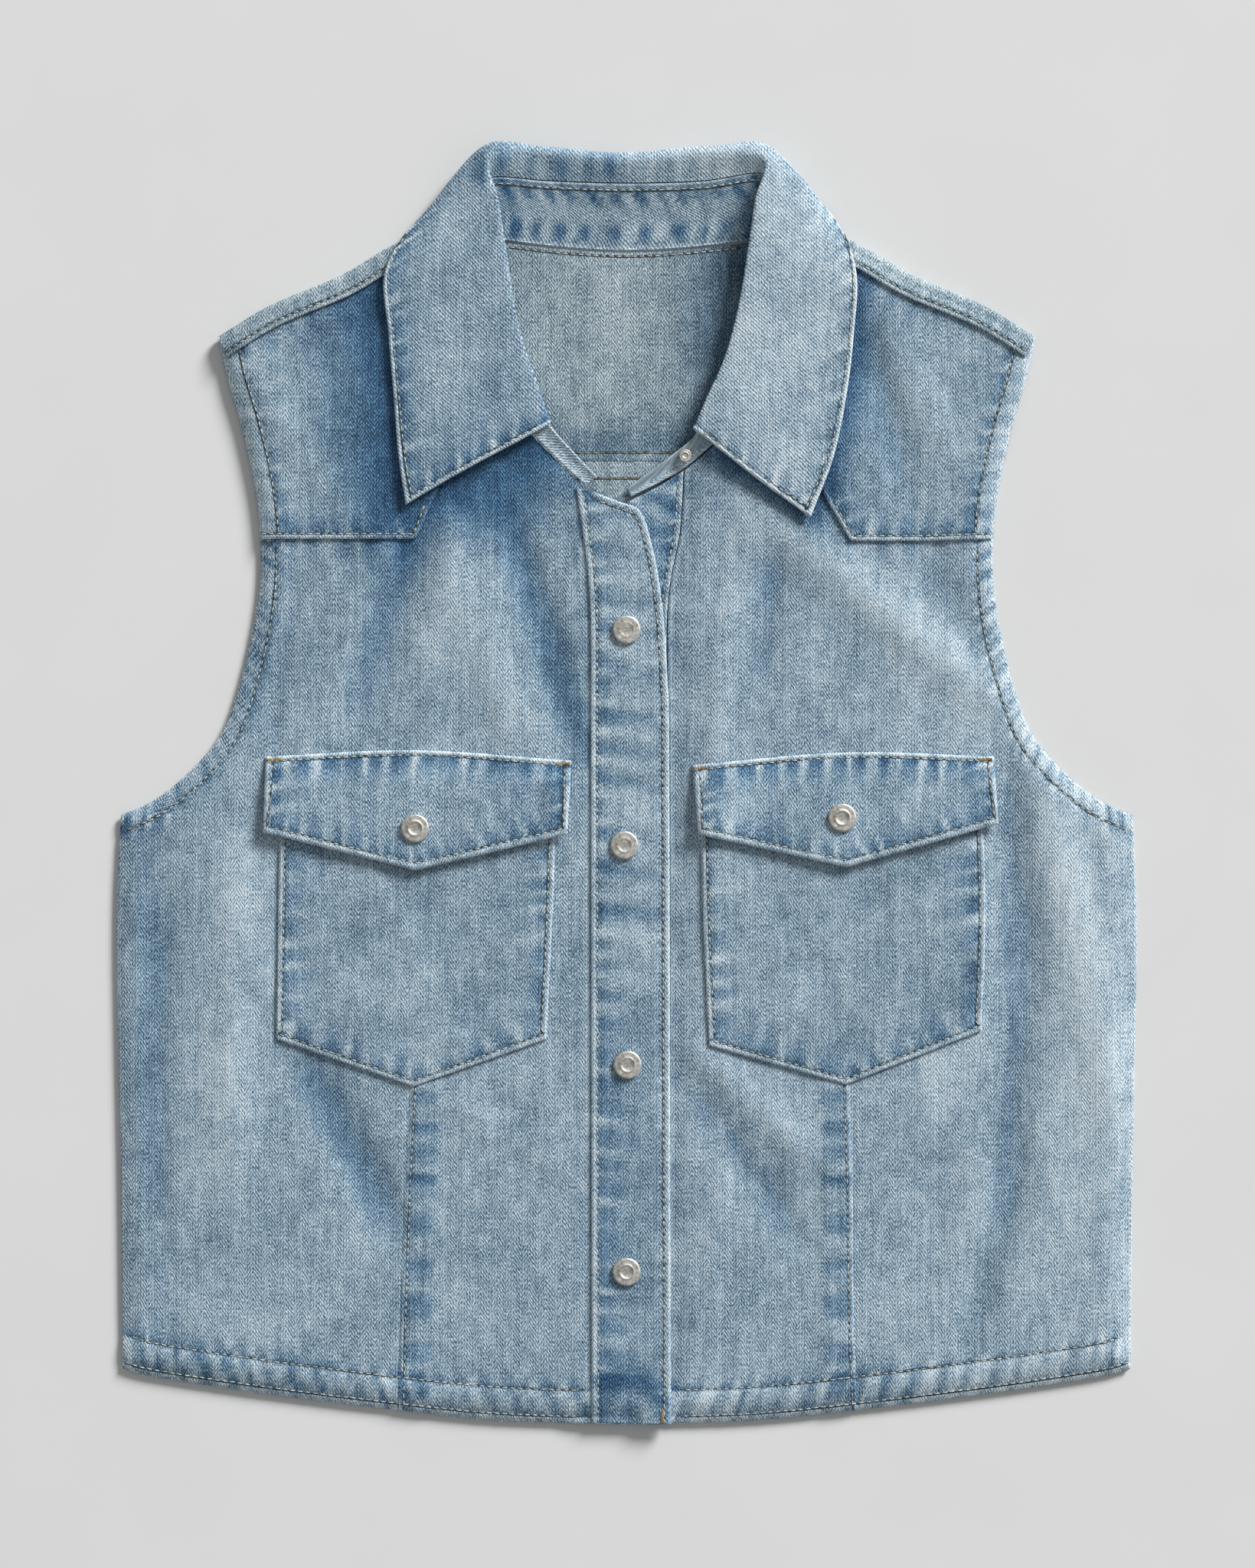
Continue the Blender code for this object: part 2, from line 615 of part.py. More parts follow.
def make_stand():
    rows = stations(STAND, 0, len(STAND) - 1, 43)
    neck, top = rows[:, :3], rows[:, 3:]
    steps = np.linspace(0.0, 1.0, 5)[:, None, None]
    grid = neck * (1 - steps) + top * steps
    grid[..., 2] -= 0.8 * np.sin(np.pi * steps[..., 0])
    grid[..., 2] = np.maximum(grid[..., 2], CLOTH / 2 + 0.02)
    sheet_wall("collar_stand", grid, "collar")


def make_leaf():
    count = 49
    start = stations(STAND, LEAF_FIRST, LEAF_LAST, count)[:, 3:]
    rails = stations(LEAF, 0, len(LEAF) - 1, count)
    crest, turn, edge = rails[:, :3], rails[:, 3:6], rails[:, 6:]
    toward = crest - start
    toward /= np.linalg.norm(toward, axis=1, keepdims=True)
    start = start + 1.5 * toward
    sheet = [stations(np.vstack(row), 0, 3, 10) for row in zip(start, crest, turn, edge)]
    grid = np.transpose(np.array(sheet), (1, 0, 2))
    grid[..., 2] = np.maximum(grid[..., 2], CLOTH / 2 + 0.02)
    sheet_wall("collar_leaf", grid, "collar")


def make_snap(name, spot, radius, height, seat):
    """A turned cap with a raised ring, a recessed middle and a flat back."""
    profile = [(0.0, 0.62), (0.40, 0.60), (0.50, 0.66), (0.62, 0.96), (0.76, 1.0), (0.92, 0.75),
               (1.0, 0.35), (0.96, 0.0), (0.0, 0.0)]
    turns = 20
    angles = np.linspace(0.0, 2 * np.pi, turns, endpoint=False)
    verts, faces = [(spot[0], spot[1], seat + profile[0][1] * height)], []
    for share, tall in profile[1:-1]:
        for angle in angles:
            verts.append((spot[0] + radius * share * np.cos(angle),
                          spot[1] + radius * share * np.sin(angle), seat + tall * height))
    base = len(verts)
    verts.append((spot[0], spot[1], seat))
    rings = len(profile) - 2
    for j in range(turns):
        k = (j + 1) % turns
        faces.append((0, 1 + j, 1 + k))
        for ring in range(rings - 1):
            low = 1 + ring * turns
            faces.append((low + j, low + turns + j, low + turns + k, low + k))
        low = 1 + (rings - 1) * turns
        faces.append((low + k, low + j, base))
    mesh = bpy.data.meshes.new(name)
    mesh.from_pydata((np.array(verts) * MM).tolist(), [], faces)
    mesh.materials.append(bpy.data.materials.get("snap") or material("snap"))
    mesh.shade_smooth()
    mesh.set_sharp_from_angle(angle=0.9)
    bpy.context.scene.collection.objects.link(bpy.data.objects.new(name, mesh))


def seat_on(name, spot, radius):
    """The height at which a flat disc comes to rest on a piece, with its small clearance."""
    piece = bpy.data.objects[name]
    highest = 0.0
    for angle in np.linspace(0.0, 2 * np.pi, 16, endpoint=False):
        for share in (0.0, 0.5, 1.0):
            x = (spot[0] + share * radius * np.cos(angle)) * MM
            y = (spot[1] + share * radius * np.sin(angle)) * MM
            hit, place, _, _ = piece.ray_cast((x, y, 0.1), (0.0, 0.0, -1.0))
            if hit:
                highest = max(highest, place.z / MM)
    return highest + SEAM


def make_snaps():
    bpy.context.view_layer.update()
    for number, spot in enumerate(PLACKET_SNAPS, 1):
        seat = seat_on("placket_right", spot, SNAP_RADIUS)
        make_snap(f"snap_{number}", spot, SNAP_RADIUS, SNAP_HEIGHT, seat)
    for side, spot in FLAP_SNAPS.items():
        seat = seat_on("flap_" + side, spot, SNAP_RADIUS)
        make_snap("snap_flap_" + side, spot, SNAP_RADIUS, SNAP_HEIGHT, seat)
    seat = seat_on("collar_stand", STUD_AT, STUD_RADIUS)
    make_snap("snap_stud_neck", STUD_AT, STUD_RADIUS, STUD_HEIGHT, seat)


clear_scene()
make_back_body()
make_back_yoke()
for wearer_side in ("right", "left"):
    make_front(wearer_side)
    make_front_yoke(wearer_side)
    make_pocket(wearer_side)
    make_flap(wearer_side)
make_placket_left()
make_placket_right()
make_stand()
make_leaf()
make_snaps()
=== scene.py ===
"""A denim vest laid flat on a table with its snaps closed, seen from straight above.

Sizes are in millimetres until a mesh is made, in the same frame as the solids: X runs
across the vest, Y up to the collar and Z off the table. Right and left are the wearer's.
"""

import bpy
import numpy as np
from mathutils.bvhtree import BVHTree
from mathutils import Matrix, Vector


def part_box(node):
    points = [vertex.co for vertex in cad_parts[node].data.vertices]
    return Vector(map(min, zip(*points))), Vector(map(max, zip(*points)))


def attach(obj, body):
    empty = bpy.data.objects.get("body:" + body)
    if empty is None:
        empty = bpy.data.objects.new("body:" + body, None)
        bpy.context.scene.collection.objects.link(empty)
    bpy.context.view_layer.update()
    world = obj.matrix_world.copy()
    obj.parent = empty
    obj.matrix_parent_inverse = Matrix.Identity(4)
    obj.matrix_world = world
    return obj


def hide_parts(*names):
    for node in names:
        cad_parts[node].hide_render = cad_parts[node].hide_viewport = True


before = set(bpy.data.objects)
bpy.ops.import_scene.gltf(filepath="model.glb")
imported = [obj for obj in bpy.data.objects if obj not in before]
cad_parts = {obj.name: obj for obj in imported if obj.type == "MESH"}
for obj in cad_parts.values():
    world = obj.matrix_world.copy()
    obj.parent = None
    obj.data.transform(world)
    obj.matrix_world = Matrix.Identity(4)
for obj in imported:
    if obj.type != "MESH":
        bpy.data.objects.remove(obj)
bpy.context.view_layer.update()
MM = 0.001

# The table is a plain matt board. One broad lamp stands off its upper right corner, low
# enough to rake the cloth, and white walls give the rest. The camera looks straight down
# from 2.6 m and takes in 596 by 745 mm of the table.

CAMERA_HEIGHT = 2600.0
CAMERA_OVER = (0.4, -0.1)    # the place on the table that it looks down on
VIEW_TALL = 744.7
LAMP_PLACE = (14500.0, 17500.0, 11500.0)


def linear(hex_colour):
    """A sRGB hex colour as linear RGBA."""
    values = [int(hex_colour[k:k + 2], 16) / 255 for k in (1, 3, 5)]
    return [v / 12.92 if v <= 0.04045 else ((v + 0.055) / 1.055) ** 2.4 for v in values] + [1.0]


def add(tree, kind, settings=None, links=None):
    """One node, with its properties or socket values, its ramp stops and what feeds its inputs."""
    node = tree.nodes.new("ShaderNode" + kind)
    for key, value in (settings or {}).items():
        if key == "stops":
            ramp = node.color_ramp.elements
            while len(ramp) < len(value):
                ramp.new(0.5)
            for stop, (place, hex_colour) in zip(ramp, value):
                stop.position = place
                stop.color = linear(hex_colour)
        elif isinstance(key, str) and hasattr(node, key):
            setattr(node, key, value)
        else:
            node.inputs[key].default_value = value
    for key, source in (links or {}).items():
        socket = source.outputs[0] if hasattr(source, "outputs") else source
        tree.links.new(socket, node.inputs[key])
    return node


def empty_material(name):
    made = bpy.data.materials.new(name)
    made.use_nodes = True
    made.node_tree.nodes.clear()
    return made


def object_from(name, points, faces, material):
    """An object from points in millimetres, smooth but for its sharp edges."""
    mesh = bpy.data.meshes.new(name)
    mesh.from_pydata((np.asarray(points, float) * MM).tolist(), [], faces)
    mesh.materials.append(material)
    mesh.shade_smooth()
    mesh.set_sharp_from_angle(angle=1.0)
    made = bpy.data.objects.new(name, mesh)
    bpy.context.scene.collection.objects.link(made)
    return made


# Painted board, rolled: matt and almost even, so that only the shadows show on it.
board = empty_material("painted_board")
tree = board.node_tree
board_grain = add(tree, "TexNoise", {"Scale": 14.0, "Detail": 2.0},
                  {"Vector": add(tree, "TexCoord").outputs["Object"]})
board_tone = add(tree, "ValToRGB", {"stops": [(0.3, "#dfdfde"), (0.7, "#e1e1e0")]},
                 {"Fac": board_grain})
board_shader = add(tree, "BsdfPrincipled", {"Roughness": 0.9, "Specular IOR Level": 0.2},
                   {"Base Color": board_tone})
add(tree, "OutputMaterial", {}, {"Surface": board_shader})
TABLE_HALF = 2600.0
TABLE_TOP = -0.05    # a hair below the cloth
corners = [(x * TABLE_HALF, y * TABLE_HALF, TABLE_TOP)
           for x, y in ((-1, -1), (1, -1), (1, 1), (-1, 1))]
table = object_from("table_top", corners, [(0, 1, 2, 3)], board)

lamp_data = bpy.data.lights.new("studio_lamp", "AREA")
lamp_data.shape = "DISK"
lamp_data.size = 9.0
lamp_data.energy = 9050.0
lamp = bpy.data.objects.new("studio_lamp", lamp_data)
lamp.location = [v * MM for v in LAMP_PLACE]
lamp.rotation_euler = (-lamp.location).to_track_quat("-Z", "Y").to_euler()
bpy.context.scene.collection.objects.link(lamp)

room = bpy.data.worlds.new("white_room")
room.use_nodes = True
room.node_tree.nodes["Background"].inputs["Color"].default_value = linear("#f6f8f9")
room.node_tree.nodes["Background"].inputs["Strength"].default_value = 0.33
bpy.context.scene.world = room

camera_data = bpy.data.cameras.new("camera")
camera_data.sensor_width = 36.0
camera_data.lens = 36.0 * CAMERA_HEIGHT / VIEW_TALL
camera_data.clip_start = 0.05
camera_data.clip_end = 20.0
camera = bpy.data.objects.new("camera", camera_data)
camera.location = [v * MM for v in (*CAMERA_OVER, CAMERA_HEIGHT)]
bpy.context.scene.collection.objects.link(camera)
bpy.context.scene.camera = camera
bpy.context.scene.view_settings.view_transform = "Standard"

# The back is one panel of washed cotton denim from the hem to the yoke seam, lying flat on
# the table with its right side down. Its armholes and hem are turned in and sewn round.

# The denim is a broken twill whose lines turn back every few ends, so that they stand in
# rows of small chevrons. It was washed pale with the vest already sewn, which left the
# folds, edges and pucker ridges white and the cloth beside each seam darker blue. The fade
# that each piece gives it also holds painted light: painted shade in fold troughs, along
# stitch rows and beside the collar, and painted highlight on fold ridges and on faces
# toward the lamp.
CHEVRON = 7.7        # width of a chevron, both arms
LINE = 2.18          # up the warp from one twill line to the next, drawn coarser so that it shows
ARM_SLOPE = 1.56     # how steeply a line climbs
WARP = 1.3           # from one raised warp float to the next across the cloth, coarser too


def denim(name, shades, line_depth=0.15, chevron=CHEVRON, climb_by=ARM_SLOPE, line=LINE):
    """Washed cotton denim: matt, faintly hairy, with a raised twill. shades run dark to pale."""
    made = empty_material(name)
    tree = made.node_tree
    grain = add(tree, "Attribute", {"attribute_name": "grain"}).outputs["Vector"]
    # Fade holds the wash, and on some pieces painted shade and painted highlight too.
    fade = add(tree, "Attribute", {"attribute_name": "fade"}).outputs["Fac"]
    worn = add(tree, "Attribute", {"attribute_name": "worn"}).outputs["Fac"]
    ends = add(tree, "SeparateXYZ", {}, {"Vector": grain})
    # The lines wander by about half a millimetre, and each is broken by the yarns that cross it.
    stray = add(tree, "TexNoise", {"Scale": 0.11, "Detail": 2.0}, {"Vector": grain})
    arm = add(tree, "Math", {"operation": "PINGPONG", 1: chevron / 2}, {0: ends.outputs["X"]})
    climb = add(tree, "Math", {"operation": "MULTIPLY_ADD", 1: climb_by},
                {0: arm, 2: ends.outputs["Y"]})
    climb = add(tree, "Math", {"operation": "MULTIPLY_ADD", 1: 3.0}, {0: stray, 2: climb})
    turns = add(tree, "Math", {"operation": "MULTIPLY", 1: 2 * np.pi / line}, {0: climb})
    wave = add(tree, "Math", {"operation": "SINE"}, {0: turns})
    floats = add(tree, "Math", {"operation": "MULTIPLY", 1: 2 * np.pi / WARP},
                 {0: ends.outputs["X"]})
    floats = add(tree, "Math", {"operation": "SINE"}, {0: floats})
    # A float stands out where a warp end crosses a line, so each line is a row of short dashes.
    wave = add(tree, "Math", {"operation": "MULTIPLY_ADD", 1: 0.55}, {0: floats, 2: wave})
    twill = add(tree, "MapRange",
                {"From Min": -0.75, "From Max": 0.85, "To Min": -1.0, "To Max": 1.0},
                {"Value": wave})
    # Single yarns, 0.7 mm across and 1.3 mm long where they float, and slubs along the warp.
    yarn_run = add(tree, "Mapping", {"Scale": (1.5, 0.75, 1.0)}, {"Vector": grain})
    yarn = add(tree, "TexNoise", {"Scale": 1.0, "Detail": 1.0, "Roughness": 0.6},
               {"Vector": yarn_run})
    slub_run = add(tree, "Mapping", {"Scale": (0.40, 0.04, 1.0)}, {"Vector": grain})
    slub = add(tree, "TexNoise", {"Scale": 1.0, "Detail": 2.0}, {"Vector": slub_run})
    # Cloudy wash: patches 20 to 60 mm across, and smaller ones of 6 to 10 mm.
    cloud = add(tree, "TexNoise", {"Scale": 0.026, "Detail": 3.0, "Roughness": 0.6},
                {"Vector": grain})
    fleck = add(tree, "TexNoise", {"Scale": 0.15, "Detail": 2.0}, {"Vector": grain})
    tone = add(tree, "Math", {"operation": "MULTIPLY_ADD", 1: line_depth, 2: -0.79}, {0: twill})
    for source, share in ((yarn, 1.35), (slub, 0.38), (cloud, 0.48), (fleck, 0.38)):
        tone = add(tree, "Math", {"operation": "MULTIPLY_ADD", 1: share}, {0: source, 2: tone})
    tone = add(tree, "Math", {"operation": "MULTIPLY_ADD", 1: 0.26}, {0: fade, 2: tone})
    tone = add(tree, "Math", {"operation": "MULTIPLY_ADD", 1: 0.20}, {0: worn, 2: tone})
    stops = list(zip((0.0, 0.27, 0.5, 0.73, 1.0), shades))
    colour = add(tree, "ValToRGB", {"stops": stops}, {"Fac": tone})
    # Where the fade is low the cloth is a clearer, darker blue: indigo that the wash didn't reach,
    # and painted shade where the fade holds it.
    unwashed_and_shaded = add(tree, "Math", {"operation": "MULTIPLY_ADD", 1: -0.95, 2: -0.08, "use_clamp": True},
               {0: fade})
    colour = add(tree, "Mix", {"data_type": "RGBA", "blend_type": "MULTIPLY", 7: linear("#a9d3f2")},
                 {0: unwashed_and_shaded, 6: colour}).outputs[2]
    height = add(tree, "Math", {"operation": "MULTIPLY_ADD", 1: 0.35}, {0: twill, 2: yarn})
    relief = add(tree, "Bump", {"Strength": 0.6, "Distance": 0.00035}, {"Height": height})
    shader = add(tree, "BsdfPrincipled",
                 {"Roughness": 0.88, "IOR": 1.5, "Specular IOR Level": 0.25, "Sheen Weight": 0.15,
                  "Sheen Roughness": 0.5}, {"Base Color": colour, "Normal": relief})
    add(tree, "OutputMaterial", {}, {"Surface": shader})
    return made


CLOTH = 1.2          # one wall of cloth
BACK_YOKE_SEAM = 153.0
WIDE = 484.0         # across the chest
SIDE = [(239, -277.5), (240, -186), (242, -71), (240, -15)]
ARMHOLE = [(240, -15), (223, -7), (204, 9), (190, 28), (180, 60), (174, 95),
           (175, 130), (182, 166), (189, 190), (194, 212)]
HEM_LINE = [(239, -277.5), (224, -281.4), (174, -289), (110, -297), (60, -302), (0, -304)]
ARMHOLE_AT_SEAM = 178.6    # X of the armhole where the back's seam meets it
SEAM_ROW = 8.0       # from the back's seam down to the row below it
SEAM_EDGE = 10.5     # and down to the turned edge inside
REST = 0.02          # how far the cloth's underside keeps off the table
RIM = np.array([0.0, 0.2, 0.5, 0.95, 1.5, 2.2, 3.0, 3.9])    # rows of points inside a finished edge


def soft_step(t):
    t = np.clip(t, 0.0, 1.0)
    return t * t * (3.0 - 2.0 * t)


def bell(off, width):
    """1 on a line and 0 well off it."""
    return np.exp(-((off / width) ** 2))


def smooth_line(points, corners=False):
    """Dense points on a smooth curve through the given ones, each with its share of the length."""
    points = np.array(points, float)
    if corners or len(points) < 3:
        dense = points
    else:
        knots = np.vstack([2 * points[0] - points[1], points, 2 * points[-1] - points[-2]])
        parts = []
        for a, b, c, d in zip(knots, knots[1:], knots[2:], knots[3:]):
            t = np.linspace(0.0, 1.0, 12, endpoint=False)[:, None]
            bend = 2 * a - 5 * b + 4 * c - d
            turn = 3 * b - 3 * c + d - a
            parts.append(0.5 * (2 * b + (c - a) * t + bend * t**2 + turn * t**3))
        dense = np.vstack(parts + [points[-1:]])
    steps = np.linalg.norm(np.diff(dense, axis=0), axis=1)
    share = np.concatenate([[0.0], np.cumsum(steps)])
    return dense, share / share[-1]


def at(line, share):
    dense, shares = line
    return np.stack([np.interp(share, shares, dense[:, k]) for k in range(dense.shape[1])], axis=-1)


def length(line):
    return np.linalg.norm(np.diff(line[0], axis=0), axis=1).sum()


def joined(*lines):
    """One curve from several that meet end to end."""
    dense = np.vstack([lines[0][0]] + [line[0][1:] for line in lines[1:]])
    return smooth_line(dense, corners=True)


def reversed_line(line):
    return smooth_line(line[0][::-1], corners=True)


def patch(low, high, near, far, across, up):
    """A grid over four edge curves: across runs near to far, up runs low to high."""
    v = np.broadcast_to(up[:, None], across.shape)
    u3, v3 = across[..., None], v[..., None]
    sides = (1 - v3) * at(low, across) + v3 * at(high, across)
    ends = (1 - u3) * at(near, v) + u3 * at(far, v)
    corners = (1 - u3) * (1 - v3) * at(low, 0.0) + u3 * (1 - v3) * at(low, 1.0)
    corners = corners + (1 - u3) * v3 * at(high, 0.0) + u3 * v3 * at(high, 1.0)
    return sides + ends - corners


def spaced(wides, step, first=True, last=True):
    """Shares across each width, close together inside a finished edge and even between."""
    wides = np.atleast_1d(wides)
    head = RIM if first else RIM[:1]
    tail = RIM if last else RIM[:1]
    count = max(int((wides.max() - head[-1] - tail[-1]) / step), 3)
    rows = []
    for wide in wides:
        middle = np.linspace(head[-1], wide - tail[-1], count + 1)[1:-1]
        rows.append(np.concatenate([head, middle, wide - tail[::-1]]) / wide)
    return np.array(rows)


def nearest(x, y, line):
    """Each point's distance to a line, and how far along the line it is nearest."""
    dense = line[0]
    best = np.full(np.shape(x), 1e9)
    run = np.zeros(np.shape(x))
    gone = 0.0
    for (ax, ay), (bx, by) in zip(dense[:, :2], dense[1:, :2]):
        dx, dy = bx - ax, by - ay
        piece = np.hypot(dx, dy)
        t = np.clip(((x - ax) * dx + (y - ay) * dy) / max(piece**2, 1e-9), 0.0, 1.0)
        away = np.hypot(x - ax - t * dx, y - ay - t * dy)
        closer = away < best
        best = np.where(closer, away, best)
        run = np.where(closer, gone + t * piece, run)
        gone += piece
    return best, run


def uneven(run, spacing, seed):
    """A wave of uneven spacing and height, from -1 to 1."""
    chance = np.random.default_rng(seed)
    knots = np.cumsum(chance.uniform(0.5, 1.5, 600)) * spacing / 2 - 6 * spacing
    heights = chance.uniform(0.25, 1.0, 600) * np.where(np.arange(600) % 2, 1.0, -1.0)
    k = np.clip(np.searchsorted(knots, run), 1, 599)
    t = soft_step((run - knots[k - 1]) / (knots[k] - knots[k - 1]))
    return heights[k - 1] * (1 - t) + heights[k] * t


def grid_faces(rows, columns):
    first = (np.arange(rows - 1)[:, None] * columns + np.arange(columns - 1)).reshape(-1)
    return np.stack([first, first + 1, first + 1 + columns, first + columns], axis=1)


def open_edges(faces):
    """The edges that only one face has, in that face's direction."""
    edges = np.concatenate([faces[:, [k, (k + 1) % 4]] for k in range(4)])
    span = int(edges.max()) + 1
    key = edges[:, 0].astype(np.int64) * span + edges[:, 1]
    back = edges[:, 1].astype(np.int64) * span + edges[:, 0]
    return edges[~np.isin(key, back)]


def shell(node, outer, inner, faces, grain, fade, worn, material):
    """A closed wall of cloth between two sheets of points, in place of its solid."""
    outer = np.asarray(outer, float).reshape(-1, 3)
    inner = np.asarray(inner, float).reshape(-1, 3)
    count = len(outer)
    rim = open_edges(faces)
    sides = np.stack([rim[:, 1], rim[:, 0], rim[:, 0] + count, rim[:, 1] + count], axis=1)
    walls = np.vstack([faces, count + faces[:, ::-1], sides])
    made = object_from(node + "_cloth", np.vstack([outer, inner]), walls.tolist(), material)
    grain = np.asarray(grain, float).reshape(-1, grain.shape[-1])
    grain = np.column_stack([grain[:, 0], grain[:, 1], np.zeros(count)])
    fade = np.clip(np.asarray(fade, float).reshape(-1), -1.2, 1.2)
    worn = np.clip(np.asarray(worn, float).reshape(-1), 0.0, 1.0)
    # The inside takes its threads from another place in the pattern.
    layer = made.data.attributes.new("grain", "FLOAT_VECTOR", "POINT")
    layer.data.foreach_set("vector", np.vstack([grain, grain + (3.0, 5.0, 9.0)]).reshape(-1))
    for title, values in (("fade", fade), ("worn", worn)):
        layer = made.data.attributes.new(title, "FLOAT", "POINT")
        layer.data.foreach_set("value", np.concatenate([values, values]))
    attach(made, "root")
    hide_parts(node)
    return made


def laid(node, points, top, under, fade, worn, material):
    """A wall of cloth over a grid of places, with its warp up the grid's own Y."""
    x, y = points[..., 0], points[..., 1]
    return shell(node, np.dstack([x, y, top]), np.dstack([x, y, under]), grid_faces(*x.shape),
                 points, fade, worn, material)


def turned_edge(away, thick):
    """How far each face draws back from a folded edge, so that the fold is round."""
    half = thick / 2
    t = np.clip(away / (1.15 * half), 0.0, 1.0)
    return (half - 0.06) * (1 - np.sqrt(1 - (1 - t) ** 2))


# The reverse of washed denim: the pale weft floats on this side, so it looks greyer.
denim_reverse = denim("denim_reverse", ["#2f424f", "#566d7d", "#8296a1", "#aebdc4", "#d5dedf"])

back_side = joined(smooth_line(SIDE), smooth_line(ARMHOLE))[0]
back_side = back_side[back_side[:, 1] < BACK_YOKE_SEAM - 0.3]
back_far = smooth_line(np.vstack([back_side, [(ARMHOLE_AT_SEAM, BACK_YOKE_SEAM)]]), corners=True)
back_near = smooth_line(back_far[0] * (-1, 1), corners=True)
back_hem = smooth_line(HEM_LINE)[0]
back_hem = smooth_line(np.vstack([back_hem * (-1, 1), back_hem[::-1][1:]]), corners=True)
back_top = smooth_line([back_near[0][-1], back_far[0][-1]])
rise = length(back_far)
back_up = np.concatenate([RIM, np.linspace(10, rise - 60, 45), np.linspace(rise - 56, rise, 22)])
columns = spaced(WIDE, 5.0)[0]
back_across = np.broadcast_to(columns, (len(back_up), len(columns)))
points = patch(back_hem, back_top, back_near, back_far, back_across, back_up / rise)
x, y = points[..., 0], points[..., 1]
away = nearest(x, y, joined(reversed_line(back_near), back_hem, back_far))[0]
fell = soft_step((y - (BACK_YOKE_SEAM - SEAM_EDGE)) / 1.6)
row = -0.25 * bell(y - (BACK_YOKE_SEAM - SEAM_ROW), 0.7)
ripple = uneven(x, 11.0, 5)
top = CLOTH + fell * (0.45 + 0.10 * ripple) + row * fell
fade = np.where(y > BACK_YOKE_SEAM - SEAM_EDGE, 0.1 + 0.35 * ripple, 0.0)
fade = fade + 0.25 * uneven(x + 0.3 * y, 34.0, 7) * soft_step((y - 90) / 30)
drawn = turned_edge(away, CLOTH)
back_body = laid("back_body", points, top - drawn, REST + drawn, fade, 0.8 * bell(away, 1.2),
                 denim_reverse)

# The two fronts are panels of the washed denim on top of the back, sewn to it down the side
# seams. Each has a dart from its pocket to the hem, pressed toward the middle, and rides a
# little off the table on the slack under it. Hem and armholes are turned twice and sewn.

SEAM = 0.3           # between the back and the fronts on it
LAYER = 0.45         # between a front and what is sewn on it
LOFT = 3.3           # how far the fronts ride above their own edges
EDGE_SOFT = 14.0     # the width over which a front rises from its edge
HOLLOW_TOP = 5.0     # the highest that a front's underside gets
HEM_ROW = 16.0       # the rows of stitches, from the edge that each one follows
HEM_EDGE_ROW = 3.4
ARMHOLE_ROW = 7.6
DART_ROW = 2.6
DART_TOP = -138.0    # the dart starts under the pocket
SHOULDER = [(194, 212), (169, 227), (136, 241), (112, 255), (84, 267)]
SHOULDER_CLEAR = 5.5     # how far inside the shoulder's fold a front ends
UNDER_LOW = 0.36     # share of the loft left where the left front goes under the right one
UNDER_SOFT = 14.0    # and the width over which it comes up again
NECK = {
    "right": [(-73, 260), (-77, 247), (-76, 223), (-70, 200), (-58, 180), (-43, 164), (-30, 151),
              (-17, 137)],
    "left": [(73, 260), (77, 247), (76, 223), (70, 200), (57, 176), (38, 158.5), (28, 150)],
}
PLACKET_RIGHT_OUT = [(-16.5, -303), (-17, 0), (-17.3, 81), (-20.5, 117), (-24, 140)]
PLACKET_RIGHT_EDGE = [(21, -303.5), (20.2, 0), (19.3, 50), (17.3, 81), (14.4, 102), (12, 113),
                      (9, 124), (5, 130.5), (-3, 133.5), (-15, 138)]
UNDER_SEAM = [(19.8, -303), (19.6, 0), (19.3, 81), (25.3, 120), (27, 148.4)]
YOKE_LOW = {
    "right": [(-173.5, 116), (-138, 116), (-100, 116), (-93, 132), (-82, 158), (-74, 182)],
    "left": [(173.5, 116), (142, 115), (106, 115), (95, 134), (83, 160), (74, 182)],
}
DART = {
    "right": [(-102.5, -140), (-105, -186), (-107, -242), (-108.5, -300)],
    "left": [(105.5, -140), (107, -186), (108, -261), (110, -300)],
}
FOLDS = [
    # x0, y0, x1, y1, half width, height
    (-54, 119, -24, 22, 9, -1.3),
    (-84, 112, -59, 37, 13, 1.2),
    (-104, 112, -126, 45, 9, -0.9),
    (-186, -37, -186, -186, 14, 1.1),
    (-149, -138, -112, -208, 10, -1.1),
    (-228, -37, -222, -223, 9, -0.7),
    (69, 104, 63, 56, 9, -0.8),
    (69, 125, 164, 48, 12, 1.2),
    (142, 115, 164, 63, 9, -0.8),
    (110, 223, 130, 149, 10, -0.7),
    (116, 223, 149, 164, 11, 0.8),
    (181, 7, 186, -74, 9, -1.2),
    (186, -74, 181, -186, 9, -1.3),
    (181, -186, 164, -261, 9, -1.1),
    (201, -19, 231, -149, 13, 1.1),
    (37, -130, 86, -175, 9, 0.9),
    (36, -150, 75, -208, 9, -0.8),
    (44, 60, 41, -70, 8, 0.7),
]


def rounded(t):
    """Rises steeply from an edge and then levels out."""
    return np.sin(np.clip(t, 0.0, 1.0) * np.pi / 2)


def mirrored(points):
    """The same points on the vest's other side."""
    return [(-x, y) for x, y in points]


def inset(line, amount):
    """A curve moved to its left by an amount."""
    dense = line[0]
    run = np.gradient(dense, axis=0)
    run /= np.linalg.norm(run, axis=1, keepdims=True)
    return smooth_line(dense + amount * np.stack([-run[:, 1], run[:, 0]], axis=1), corners=True)


def facing_up(points):
    """The same grid, turned so that its faces look up."""
    a = points[0, 1] - points[0, 0]
    b = points[1, 0] - points[0, 0]
    return points if a[0] * b[1] - a[1] * b[0] > 0 else points[:, ::-1]


